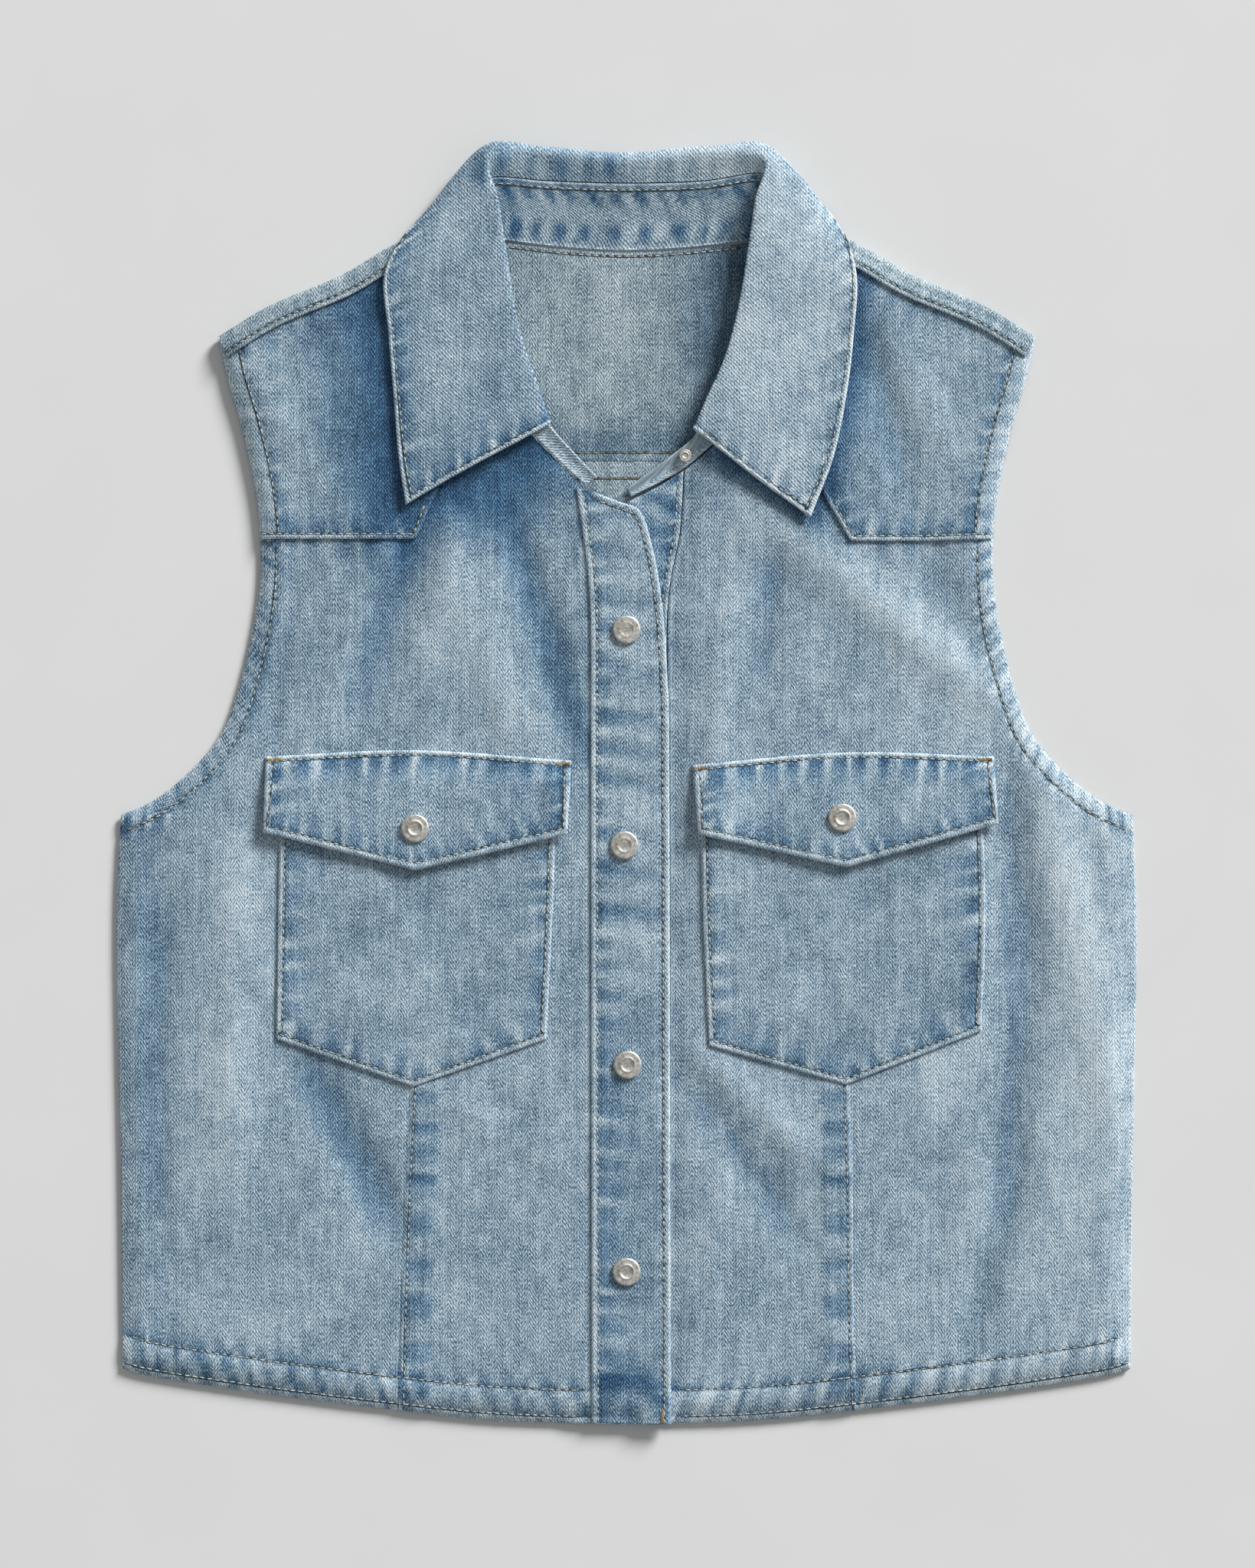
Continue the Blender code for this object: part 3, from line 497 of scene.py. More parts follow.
def gathered(away, run, stitch, spacing, seed, reach, slant, swell, pucker, patches=0.45):
    """What a row of stitches beside an edge does to the cloth: its height and its fade.

    The row runs stitch in from the edge. Its puckers are spacing apart, pucker high and reach
    long, and lean by slant. The turning between row and edge swells up, and is as blotchy as
    patches says.
    """
    run = run + slant * away
    wave = uneven(run, spacing, seed) + 0.35 * uneven(run, 0.45 * spacing, seed + 1)
    ridge = np.clip(wave, 0.0, 1.2) ** 1.5
    inside = away > stitch
    past = np.clip((away - stitch) / reach, 0.0, 3.0)
    fall = np.exp(-2.0 * past)
    hump = np.sin(np.pi * np.clip(away / stitch, 0.0, 1.0))
    height = np.where(inside, pucker * wave * fall * rounded(past * 4),
                      (swell + 0.4 * pucker * wave) * hump)
    height = height - 0.30 * bell(away - stitch, 0.7)
    fade = np.where(inside, (1.75 * ridge - 0.66 + 0.25 * wave) * fall,
                    0.545 - 0.545 * patches + patches * wave)
    # The cloth is painted darker along the row itself, as painted shade of its groove.
    return height, fade - 0.5 * bell(away - stitch, 0.55)


def sewn(x, y, line, **row):
    """The same for a row that follows a line."""
    away, run = nearest(x, y, line)
    return gathered(away, run, **row)


chance = np.random.default_rng(11)
for _ in range(90):
    # Faint creases from folding and wear, mostly along the warp.
    lean = chance.normal(0.0, 0.38)
    reach = chance.uniform(35, 110)
    x0, y0 = chance.uniform(-235, 235), chance.uniform(-285, 190)
    FOLDS.append((x0, y0, x0 + reach * np.sin(lean), y0 + reach * np.cos(lean),
                  chance.uniform(4.5, 9.0), chance.choice([-1, 1]) * chance.uniform(0.10, 0.34)))

OUTLINES = {}
for side in ("right", "left"):
    turn = mirrored if side == "right" else list
    OUTLINES[side] = {
        "side": smooth_line(turn(SIDE)),
        "armhole": smooth_line(turn(ARMHOLE)),
        "shoulder": smooth_line(turn(SHOULDER)),
        "hem": smooth_line(turn(HEM_LINE)),
        "neck": smooth_line(NECK[side]),
    }


# The collar leaf's edge from its back corner to its point and up to its front end. Under it,
# and for some 30 mm beside it, the cloth is painted darker and bluer as the collar's shadow,
# most of all on the right.
LEAF_LINE = {
    "right": [(-114, 250), (-113.5, 213), (-110, 170), (-105, 132), (-72, 146), (-40, 167)],
    "left": [(108, 250), (107.5, 211), (102, 170), (88, 126), (60, 145), (34, 165)],
}


def painted_collar_shadow(side, x, y):
    """How much darker and bluer the cloth is painted, as the collar's painted shadow."""
    away = nearest(x, y, smooth_line(LEAF_LINE[side], corners=True))[0]
    near, wide = (0.35, 1.20) if side == "right" else (0.75, 0.28)
    return near * bell(away, 7.0) + wide * bell(away, 30.0)


def fold_height(x, y):
    """Height of all the folds and creases together, before it is scaled."""
    total = np.zeros(np.shape(x))
    for x0, y0, x1, y1, width, height in FOLDS:
        dx, dy = x1 - x0, y1 - y0
        run = np.hypot(dx, dy)
        t = ((x - x0) * dx + (y - y0) * dy) / run**2
        off = np.abs((x - x0) * dy - (y - y0) * dx) / run
        fade = soft_step(1.5 - 1.6 * np.abs(t - 0.5))
        total += height * bell(off, width) * fade
    return total


def front_top(side, x, y):
    """Height of a front's outer face."""
    lines = OUTLINES[side]
    away = np.min([nearest(x, y, lines[k])[0] for k in ("side", "armhole", "shoulder", "hem")],
                  axis=0)
    rise = rounded(away / EDGE_SOFT)
    lift = LOFT + np.clip(1.9 * fold_height(x, y), -2.4, 2.8)
    if side == "right":
        # It stays up where it laps over the other front.
        over = soft_step((x + 36.0) / 16.0)
        lift = lift * (1 - over) + (LOFT + 0.1) * over
        end = nearest(x, y, lines["hem"])[0]
        rise = np.maximum(rise, over * (0.42 + 0.58 * soft_step(end / 34)))
    else:
        seam_x = np.interp(y, *zip(*[(b, a) for a, b in UNDER_SEAM]))
        rise = rise * (UNDER_LOW + (1 - UNDER_LOW) * rounded((x - seam_x) / UNDER_SOFT))
    return SEAM + 2 * CLOTH + rise * lift


def layer_top(side, x, y, layers):
    """Outer face of the given number of layers on top of a front."""
    return front_top(side, x, y) + layers * (LAYER + CLOTH)


def front_grid(side):
    """The grid of one front, from the side and armhole to the neck and the front edge."""
    lines = OUTLINES[side]
    sign = -1 if side == "right" else 1
    if side == "right":
        edge = smooth_line([(x - 1.0, y) for x, y in PLACKET_RIGHT_EDGE])
    else:
        edge = smooth_line([(x + SEAM, y) for x, y in UNDER_SEAM])
    inner_line = joined(edge, inset(reversed_line(lines["neck"]), -0.8 * sign))
    top = inset(lines["shoulder"], SHOULDER_CLEAR * sign)
    hem = lines["hem"][0]
    hem = np.vstack([hem[-sign * hem[:, 0] < -sign * inner_line[0][0][0] - 2], inner_line[0][0]])
    outer_dense = np.vstack([joined(lines["side"], lines["armhole"])[0][:-1], top[0][0]])
    outer_line = smooth_line(outer_dense, corners=True)
    inner_line = smooth_line(np.vstack([inner_line[0][:-1], top[0][-1]]), corners=True)
    tall = length(outer_line)
    up = np.concatenate([RIM, np.arange(5.2, 22, 1.3), np.linspace(23.5, tall, 186)]) / tall
    dart_x, dart_y = np.array(DART[side]).T
    across = []
    last_dart = 0.5
    for v in up:
        start, end = at(outer_line, v), at(inner_line, v)
        wide = np.linalg.norm(start - end)
        middle = (start[1] + end[1]) / 2
        if middle < -140:
            here = np.interp(-middle, -dart_y, dart_x)
            last_dart = (here - start[0]) / (end[0] - start[0])
        dart = last_dart * wide
        spots = [RIM, np.linspace(5.2, 14, 7), np.linspace(14, dart - 7, 36)[1:],
                 np.linspace(dart - 7, dart + 7, 18)[1:], np.linspace(dart + 7, wide - 3.9, 34)[1:],
                 wide - RIM[:-1][::-1]]
        across.append(np.concatenate(spots) / wide)
    return facing_up(patch(smooth_line(hem, corners=True), top, outer_line, inner_line,
                           np.array(across), up))


def dart_relief(side, x, y):
    """The dart's seam allowance lies under the cloth on its inner side and lifts it."""
    line = smooth_line(DART[side])
    away, run = nearest(x, y, line)
    inward = x - np.interp(-y, -line[0][:, 1], line[0][:, 0])
    inward = inward if side == "right" else -inward
    below = soft_step((DART_TOP - y) / 4)
    wave = uneven(run, 17.0, 31) + 0.5 * uneven(run, 7.0, 32)
    band = soft_step(inward / 0.8) * soft_step((16.5 - inward) / 4)
    height = band * (0.55 + 0.14 * wave) - 0.35 * bell(inward, 0.6)
    height = height - 0.28 * bell(inward - DART_ROW, 0.7)
    # The cloth is also painted darker along the row of stitches, as painted shade of its groove.
    fade = band * (0.50 * wave - 0.30) - 0.5 * bell(inward - DART_ROW, 0.55)
    worn = 0.8 * bell(inward - 1.0, 0.8)
    return height * below, fade * below, worn * below


# Right side: indigo warp on top, from nearly raw blue in the grooves to white on the ridges.
INDIGO = ["#31485c", "#5d788c", "#8ba3b3", "#b6c8d4", "#dfe7ea"]
denim_front = denim("denim_front", INDIGO)

fronts = {}
for side in ("right", "left"):
    sign = -1 if side == "right" else 1
    lines = OUTLINES[side]
    points = front_grid(side)
    x, y = points[..., 0], points[..., 1]
    top = front_top(side, x, y)
    under = np.minimum(top - CLOTH, HOLLOW_TOP)
    folds = fold_height(x, y)
    relief, fade, worn = dart_relief(side, x, y)
    # Fold ridges are painted paler, partly as wear and partly as painted highlight, and fold
    # troughs darker as painted shade.
    # The cloth beside the collar is painted darker and bluer as the collar's shadow.
    fade = fade + 0.50 * np.clip(folds, -1.4, 1.4) - painted_collar_shadow(side, x, y)
    below_yoke = soft_step((124 - y) / 6)
    for edge, stitch, spacing, slant, swell, pucker, patches, only in (
            ("hem", HEM_ROW, 11.0, 0.45, 0.55, 0.50, 0.80, 1.0),
            ("hem", HEM_EDGE_ROW, 5.0, 0.5, 0.15, 0.16, 0.3, 1.0),
            ("armhole", ARMHOLE_ROW, 7.4, 0.6, 0.45, 0.40, 0.95, below_yoke)):
        seed = sum(map(ord, edge + side)) + int(stitch)
        height, tint = sewn(x, y, lines[edge], stitch=stitch, spacing=spacing, seed=seed, reach=8.0,
                            slant=slant, swell=swell, pucker=pucker, patches=patches)
        relief = relief + height * only
        fade = fade + tint * only * (1.0 if stitch > 5 else 0.5)
    # Beside the placket and under the yoke the cloth is drawn up a little by the seams there, and
    # it is painted a little darker right at their edges as painted shade.
    edge_line = smooth_line(PLACKET_RIGHT_OUT if side == "right" else UNDER_SEAM)
    away, run = nearest(x, y, edge_line)
    outside = (x < -17) if side == "right" else (x > 19)
    relief = relief + np.where(outside, 0.30 * bell(away - 1.5, 0.9), 0.0)
    wave = uneven(run, 14.0, 41) * np.exp(-away / 7)
    fade = fade + np.where(outside, 0.30 * wave - 0.12 * np.exp(-away / 4), 0.0)
    worn = worn + np.where(outside, 0.75 * bell(away - 1.4, 0.9), 0.0)
    away, run = nearest(x, y, smooth_line(YOKE_LOW[side][:3], corners=True))
    wave = uneven(run, 12.0, 43) * np.exp(-away / 9)
    relief = relief + 0.22 * wave
    fade = fade + 0.45 * wave - 0.2 * np.exp(-away / 3)
    # The armhole's turning is a little darker than the cloth beside it.
    turned = soft_step((8 - nearest(x, y, lines["armhole"])[0]) / 2) * below_yoke
    fade = fade - 0.08 * turned
    if side == "left":
        # This front is painted lighter, most of all toward its side: painted light on the side
        # toward the lamp.
        fade = fade + 0.30 * soft_step((x - 120) / 50) + 0.08
    away = np.min([nearest(x, y, lines[k])[0] for k in ("side", "armhole", "hem")], axis=0)
    worn = worn + 0.6 * bell(away, 1.1)
    away = np.minimum(away, nearest(x, y, edge_line)[0] if side == "left" else 99.0)
    drawn = turned_edge(away, CLOTH)
    fronts[side] = laid("front_" + side, points, top + relief - drawn, under + drawn, fade, worn,
                        denim_front)


# Above the chest each front carries a yoke, a second layer turned under along its lower
# edge and sewn down 2.5 mm inside it. It runs out into the armhole and the shoulder seam.


def edged_patch(low, high, near, far, step, ends=(True, True), sides=(True, True)):
    """A grid over four edge curves with close rows inside its finished ends and sides."""
    up = spaced((length(near) + length(far)) / 2, step, *ends)[0]
    wides = np.linalg.norm(at(near, up) - at(far, up), axis=1)
    return patch(low, high, near, far, spaced(wides, step, *sides), up)


YOKE_THICK = 1.5
YOKE_ROW = 2.5
YOKE_ARM_ROW = 9.0

yokes = {}
for side in ("right", "left"):
    sign = -1 if side == "right" else 1
    lines = OUTLINES[side]
    low = smooth_line(YOKE_LOW[side], corners=True)
    high = inset(lines["shoulder"], SHOULDER_CLEAR * sign)
    armhole = lines["armhole"][0]
    armhole = armhole[armhole[:, 1] > low[0][0][1] + 2]
    near = inset(smooth_line(armhole, corners=True), 0.5 * sign)[0]
    start = np.array([sign * (abs(near[0][0]) - 0.3), low[0][0][1]])
    low = smooth_line(np.vstack([start, low[0][1:]]), corners=True)
    near = smooth_line(np.vstack([start, near[1:-1], high[0][0]]), corners=True)
    neck = inset(reversed_line(lines["neck"]), -0.8 * sign)[0]
    neck = neck[neck[:, 1] > low[0][-1][1] + 2]
    far = smooth_line(np.vstack([low[0][-1], neck[:-1], high[0][-1]]), corners=True)
    points = facing_up(edged_patch(low, high, near, far, 2.0, (True, False), (True, False)))
    x, y = points[..., 0], points[..., 1]
    top = layer_top(side, x, y, 1)
    relief, fade = sewn(x, y, low, stitch=YOKE_ROW, spacing=10.0, seed=51 + sign, reach=12.0,
                        slant=0.2, swell=0.15, pucker=0.26)
    arm_edge = smooth_line(near[0], corners=True)
    height, tint = sewn(x, y, arm_edge, stitch=YOKE_ARM_ROW - 0.5, spacing=9.0, seed=55 + sign,
                        reach=8.0, slant=0.3, swell=0.4, pucker=0.28)
    wave = uneven(nearest(x, y, high)[1], 13.0, 57 + sign)
    close = np.exp(-nearest(x, y, high)[0] / 12)
    relief = relief + height + 0.25 * wave * close
    # Fold ridges are painted paler, partly as wear and partly as painted highlight, and fold
    # troughs darker as painted shade.
    fade = fade + tint + 0.34 * fold_height(x, y) + 0.5 * wave * close - 0.25 * close
    # The yoke beside the collar is painted darker and bluer as the collar's shadow.
    fade = fade - painted_collar_shadow(side, x, y)
    away = np.minimum(nearest(x, y, low)[0], nearest(x, y, near)[0])
    drawn = turned_edge(away, YOKE_THICK)
    yokes[side] = laid("front_yoke_" + side, points, top + relief - drawn, top - YOKE_THICK + drawn,
                       fade, 0.9 * bell(away, 1.1), denim_front)


# The back yoke closes the back above the seam at the shoulder blades, with its inside
# showing in the neck. It folds over both shoulders and laps 11 mm onto the fronts there.

SHOULDER_ROLL = 3.3  # outer radius of the fold over the shoulder
SHOULDER_LAP = 11.0  # how far it laps over each front
SHOULDER_ROW = 2.5
YOKE_SEAM_ROW = 4.0  # from the back's seam up to the row above it
YOKE_SEAM_EDGE = 5.5
BACK_NECK = [(-73, 260), (-60, 258), (-30, 254.5), (0, 253), (30, 254.5), (60, 258), (73, 260)]


def shoulder_wrap(side, feet):
    """Rows of outer and inner points that carry the back yoke over a shoulder from its feet."""
    sign = -1 if side == "right" else 1
    run = np.subtract(SHOULDER[-1], SHOULDER[0])
    out = np.array([sign * abs(run[1]), abs(run[0])]) / np.hypot(*run)
    along = np.concatenate([[0.0], np.cumsum(np.linalg.norm(np.diff(feet, axis=0), axis=1))])
    wave = uneven(along, 9.0, 61 + sign)
    outer, inner, fades, worns = [], [], [], []
    thin = SHOULDER_ROLL - CLOTH
    for angle in np.radians([-60, -30, 0, 20, 40, 60, 80, 90]):
        shift = out * np.cos(angle)
        for wall, radius in ((outer, SHOULDER_ROLL), (inner, thin)):
            level = np.full(len(feet), SHOULDER_ROLL + radius * np.sin(angle))
            wall.append(np.column_stack([feet + shift * radius, level]))
        fades.append(0.3 * wave)
        worns.append(np.full(len(feet), 0.3))
    end = SHOULDER_LAP - SHOULDER_ROLL
    for lap in [0.8, 1.8, 2.8, 3.8] + [end - v for v in RIM[::-1] if v < 3.5]:
        spot = feet - out * lap
        top = layer_top(side, spot[:, 0], spot[:, 1], 2) + SEAM
        left = end - lap
        drawn = turned_edge(left, CLOTH + 0.4)
        groove = 0.3 * bell(left - SHOULDER_ROW, 0.6) - 0.12 * wave * np.exp(-left / 3)
        blend = soft_step(lap / 4)
        level = 2 * SHOULDER_ROLL * (1 - blend) + np.maximum(top, 2 * SHOULDER_ROLL) * blend
        outer.append(np.column_stack([spot, level - drawn - groove]))
        inner.append(np.column_stack([spot, level - CLOTH - 0.4 * blend + drawn]))
        # Painted darker along the row of stitches, as painted shade of its groove.
        fades.append(0.35 * wave - 0.4 * bell(left - SHOULDER_ROW, 0.6))
        worns.append(np.full(len(feet), 0.9 * bell(left, 1.1)))
    return outer, inner, fades, worns


lines = OUTLINES["left"]
armhole = lines["armhole"][0]
armhole = armhole[(armhole[:, 1] > BACK_YOKE_SEAM + 1.3) & (armhole[:, 1] < 206)]
shoulder_in = inset(lines["shoulder"], SHOULDER_ROLL)
yoke_foot = [ARMHOLE_AT_SEAM + 0.1, BACK_YOKE_SEAM + SEAM]
yoke_far = np.vstack([yoke_foot, armhole, shoulder_in[0][0]])
yoke_near = smooth_line(yoke_far * (-1, 1), corners=True)
yoke_far = smooth_line(yoke_far, corners=True)
yoke_low = smooth_line([yoke_near[0][0], yoke_far[0][0]])
left_shoulder = smooth_line(shoulder_in[0] * (-1, 1), corners=True)
neck = smooth_line(BACK_NECK)[0]
neck = neck[np.abs(neck[:, 0]) < 66] - (0, 0.8)
yoke_high = joined(left_shoulder, smooth_line(neck, corners=True))
yoke_high = smooth_line(np.vstack([yoke_high[0], shoulder_in[0][::-1]]), corners=True)
reach = length(left_shoulder) / length(yoke_high)
stops = np.unique(np.concatenate([np.linspace(0, reach, 41), np.linspace(reach, 1 - reach, 52),
                                  np.linspace(1 - reach, 1, 41)]).round(9))
up = np.linspace(0.0, 1.0, 41)
low_share = np.linspace(0.0, 1.0, len(stops))
across = stops[None, :] * up[:, None] + low_share[None, :] * (1 - up[:, None])
u, v = across[..., None], up[:, None, None]
points = (1 - v) * at(yoke_low, low_share) + v * at(yoke_high, stops)
shift_near = at(yoke_near, up) - points[:, 0]
shift_far = at(yoke_far, up) - points[:, -1]
points = points + (1 - u) ** 2 * shift_near[:, None] + u**2 * shift_far[:, None]
x, y = points[..., 0], points[..., 1]
fell = soft_step((BACK_YOKE_SEAM + YOKE_SEAM_EDGE - y) / 1.6)
row = 0.25 * bell(y - (BACK_YOKE_SEAM + YOKE_SEAM_ROW), 0.7)
ripple = uneven(x, 11.0, 5)
slack = 0.5 * uneven(x + 0.4 * y, 60.0, 8) * soft_step((y - 165) / 20) * soft_step((245 - y) / 14)
top = CLOTH + fell * (0.45 + 0.10 * ripple - row) + np.clip(slack, 0, 1)
rows, wide = x.shape
outer = [np.dstack([x, y, np.full(x.shape, REST)]).reshape(-1, 3)]
inner = [np.dstack([x, y, top]).reshape(-1, 3)]
# Painted light on the inside: a painted pale streak below the neck and a little lighter to the
# left, and painted shade to the right and low down, under the collar.
inside_painted_light = 0.55 * bell(x + 8 - 0.1 * (y - 200), 16) * soft_step((y - 160) / 30)
inside_painted_light = inside_painted_light - 0.55 * soft_step((x - 16) / 30) - 0.50 * soft_step((185 - y) / 30)
inside_painted_light = inside_painted_light + 0.18 * soft_step((-20 - x) / 14)
fades = [(0.2 * fell + 0.3 * ripple * fell + 0.35 * slack + inside_painted_light).reshape(-1)]
worns = [np.zeros(rows * wide)]
faces = [grid_faces(rows, wide)[:, ::-1]]
total = rows * wide
for side, picks in (("right", np.flatnonzero(stops <= reach + 1e-7)),
                    ("left", np.flatnonzero(stops >= 1 - reach - 1e-7))):
    below = (rows - 1) * wide + picks
    for row_out, row_in, row_fade, row_worn in zip(*shoulder_wrap(side, points[-1, picks])):
        here = total + np.arange(len(picks))
        outer.append(row_out)
        inner.append(row_in)
        fades.append(row_fade)
        worns.append(row_worn)
        faces.append(np.stack([below[1:], below[:-1], here[:-1], here[1:]], axis=1))
        below = here
        total += len(picks)
outer = np.vstack(outer)
back_yoke = shell("back_yoke", outer, np.vstack(inner), np.vstack(faces), outer[:, :2] * (1, -1),
                  np.concatenate(fades), np.concatenate(worns), denim_reverse)


# A patch pocket lies on each front: one layer turned under all round, sewn down along its
# sides and its pointed bottom, with its mouth under the flap.

POCKET = {
    "right": {"top": [(-164, 0), (-33, 0)], "left": [(-166, -121), (-165, -60), (-164, 0)],
              "right": [(-38, -121), (-35, -60), (-33, 0)],
              "low": [(-166, -121), (-101, -143.5), (-38, -121)]},
    "left": {"top": [(35, 0), (168, 0)], "left": [(39, -124), (36, -60), (35, 0)],
             "right": [(168, -117), (170, -60), (168, 0)],
             "low": [(39, -124), (104, -142.5), (168, -117)]},
}
POCKET_THICK = 1.55
POCKET_ROW = 2.7

pockets = {}
pocket_edges = {}
for side in ("right", "left"):
    shape = POCKET[side]
    low = smooth_line(shape["low"], corners=True)
    near, far = smooth_line(shape["left"]), smooth_line(shape["right"])
    points = edged_patch(low, smooth_line(shape["top"]), near, far, 2.2)
    x, y = points[..., 0], points[..., 1]
    edge = joined(reversed_line(near), low, far)
    pocket_edges[side] = edge
    relief, fade = sewn(x, y, edge, stitch=POCKET_ROW, spacing=13.0, seed=71 + len(side),
                        reach=13.0, slant=0.15, swell=0.18, pucker=0.24)
    away = nearest(x, y, edge)[0]
    slack = 0.35 * uneven(x + 0.5 * y, 46.0, 73) + 0.25 * uneven(y - 0.3 * x, 38.0, 74)
    relief = relief + slack * soft_step(away / 25) * 0.6
    fade = fade * np.where(away > POCKET_ROW, 0.95, 0.6)
    # Fold ridges are painted paler, partly as wear and partly as painted highlight, and fold
    # troughs darker as painted shade.
    fade = fade + 0.30 * fold_height(x, y) + 0.25 * slack - 0.08
    drawn = turned_edge(away, POCKET_THICK)
    top = layer_top(side, x, y, 1)
    pockets[side] = laid("pocket_" + side, points, top + relief - drawn,
                         top - POCKET_THICK + drawn, fade, 0.95 * bell(away, 1.1), denim_front)


# Each pocket has a pointed flap of two layers, sewn to the front along its top and bagged
# out, so that its other edges are thick and rounded and its point stands off the pocket.

FLAP = {
    "right": {"top": [(-171, 13), (-100, 16), (-26, 11)], "left": [(-172, -23), (-171, 13)],
              "right": [(-28, -24), (-26, 11)], "low": [(-172, -23), (-100, -41), (-28, -24)]},
    "left": {"top": [(31, 9), (104, 15), (174, 13)], "left": [(34, -24), (31, 9)],
             "right": [(176, -19), (174, 13)], "low": [(34, -24), (104, -39.5), (176, -19)]},
}
FLAP_LIFT = 2.2      # how far a flap's lower edge stands off the pocket
FLAP_THICK = 2.3
FLAP_ROW = 3.4
FLAP_TOP_ROW = 2.5

flaps = {}
flap_edges = {}
for side in ("right", "left"):
    shape = FLAP[side]
    low, high = smooth_line(shape["low"], corners=True), smooth_line(shape["top"])
    near, far = smooth_line(shape["left"]), smooth_line(shape["right"])
    up = spaced((length(near) + length(far)) / 2, 1.7)[0]
    wides = np.linalg.norm(at(near, up) - at(far, up), axis=1)
    points = patch(low, high, near, far, spaced(wides, 1.8), up)
    x, y = points[..., 0], points[..., 1]
    down = 1 - up[:, None]
    edge = joined(reversed_line(near), low, far)
    flap_edges[side] = edge
    away = nearest(x, y, edge)[0]
    layers = 1 + soft_step(down / 0.35)
    top = front_top(side, x, y) + layers * (LAYER + CLOTH) + FLAP_LIFT * soft_step(down)
    relief, fade = sewn(x, y, edge, stitch=FLAP_ROW, spacing=9.0, seed=81 + len(side), reach=11.0,
                        slant=0.25, swell=0.30, pucker=0.26)
    height, tint = sewn(x, y, high, stitch=FLAP_TOP_ROW, spacing=12.0, seed=85 + len(side),
                        reach=13.0, slant=0.1, swell=0.20, pucker=0.34)
    swing = 0.5 * uneven(x, 52.0, 87 + len(side)) * soft_step(down / 0.6)
    relief = relief + height + swing
    fade = 1.1 * fade + 1.45 * tint + 0.2 * swing - 0.05
    rim = np.minimum(away, nearest(x, y, high)[0])
    drawn = turned_edge(rim, FLAP_THICK)
    thick = CLOTH + 0.2 + (FLAP_THICK - CLOTH - 0.2) * soft_step(down / 0.5)
    flaps[side] = laid("flap_" + side, points, top + relief - drawn,
                       top - thick + drawn * thick / FLAP_THICK, fade, bell(rim, 1.2), denim_front)


# The placket is a doubled strip down each front edge. The right one laps over the left one
# and carries the snap caps; the left one shows only beside it, at the neck.

PLACKET_LEFT_EDGE = [(-13, -303), (-13, 60), (-9, 100), (2, 134.4)]
PLACKET_LEFT_TOP = [(2, 134.4), (15, 141), (27, 148.4)]
PLACKET_THICK = 1.6
PLACKET_OUT_ROW = 3.0
PLACKET_EDGE_ROW = 3.2
UNDER_ROW = 2.6

# The same denim, cut along the warp too.
denim_band = denim("denim_band", INDIGO)

low = smooth_line([PLACKET_LEFT_EDGE[0], UNDER_SEAM[0]])
points = edged_patch(low, smooth_line(PLACKET_LEFT_TOP), smooth_line(PLACKET_LEFT_EDGE),
                     smooth_line(UNDER_SEAM), 2.2, (True, True), (False, True))
x, y = points[..., 0], points[..., 1]
top = front_top("left", x, y)
relief, fade = sewn(x, y, smooth_line(UNDER_SEAM), stitch=UNDER_ROW, spacing=10.0, seed=91,
                    reach=8.0, slant=0.2, swell=0.10, pucker=0.2)
fade = fade + 0.4 * uneven(y + 0.6 * x, 17.0, 93) - 0.35
away = np.min([nearest(x, y, smooth_line(line))[0] for line in (UNDER_SEAM, PLACKET_LEFT_TOP)],
              axis=0)
drawn = turned_edge(away, CLOTH)
placket_left = laid("placket_left", points, top + relief - drawn, top - CLOTH + drawn, fade,
                    0.8 * bell(away, 1.1), denim_band)

near, far = smooth_line(PLACKET_RIGHT_OUT), smooth_line(PLACKET_RIGHT_EDGE)
low = smooth_line([PLACKET_RIGHT_OUT[0], PLACKET_RIGHT_EDGE[0]])
high = smooth_line([PLACKET_RIGHT_OUT[-1], PLACKET_RIGHT_EDGE[-1]])
points = edged_patch(low, high, near, far, 1.9)
x, y = points[..., 0], points[..., 1]
top = layer_top("right", x, y, 1)
relief, fade = sewn(x, y, near, stitch=PLACKET_OUT_ROW, spacing=13.0, seed=95, reach=16.0,
                    slant=0.1, swell=0.16, pucker=0.30)
height, tint = sewn(x, y, far, stitch=PLACKET_EDGE_ROW, spacing=8.0, seed=97, reach=6.0, slant=0.1,
                    swell=0.20, pucker=0.10)
band = uneven(y + 0.12 * x, 19.0, 99) * soft_step((x + 15) / 4) * soft_step((19 - x) / 10)
relief = relief + height + 0.14 * band
fade = fade + 0.6 * tint + 0.42 * band + 0.10
# Across its lower end the band is sewn down in line with the hem, and stays blue above that.
end = nearest(x, y, OUTLINES["right"]["hem"])[0]
relief = relief - 0.3 * bell(end - HEM_ROW + 0.5, 0.7)
fade = fade - 0.75 * bell(end - 22, 5) - 0.15 * soft_step((13 - end) / 3)
fade = fade + 0.35 * uneven(x, 14.0, 100) * soft_step((15 - end) / 3)
ends = joined(reversed_line(near), low, far)
away = nearest(x, y, ends)[0]
drawn = turned_edge(away, PLACKET_THICK)
worn = 0.85 * bell(away, 1.1) + 0.3 * bell(x - 19.4, 1.6)
placket_right = laid("placket_right", points, top + relief - drawn, top - PLACKET_THICK + drawn,
                     fade, worn, denim_band)


# The collar stand is a doubled strip that stands up from the neck seam and leans inward,
# lower at its front ends, where it carries the neck snap.

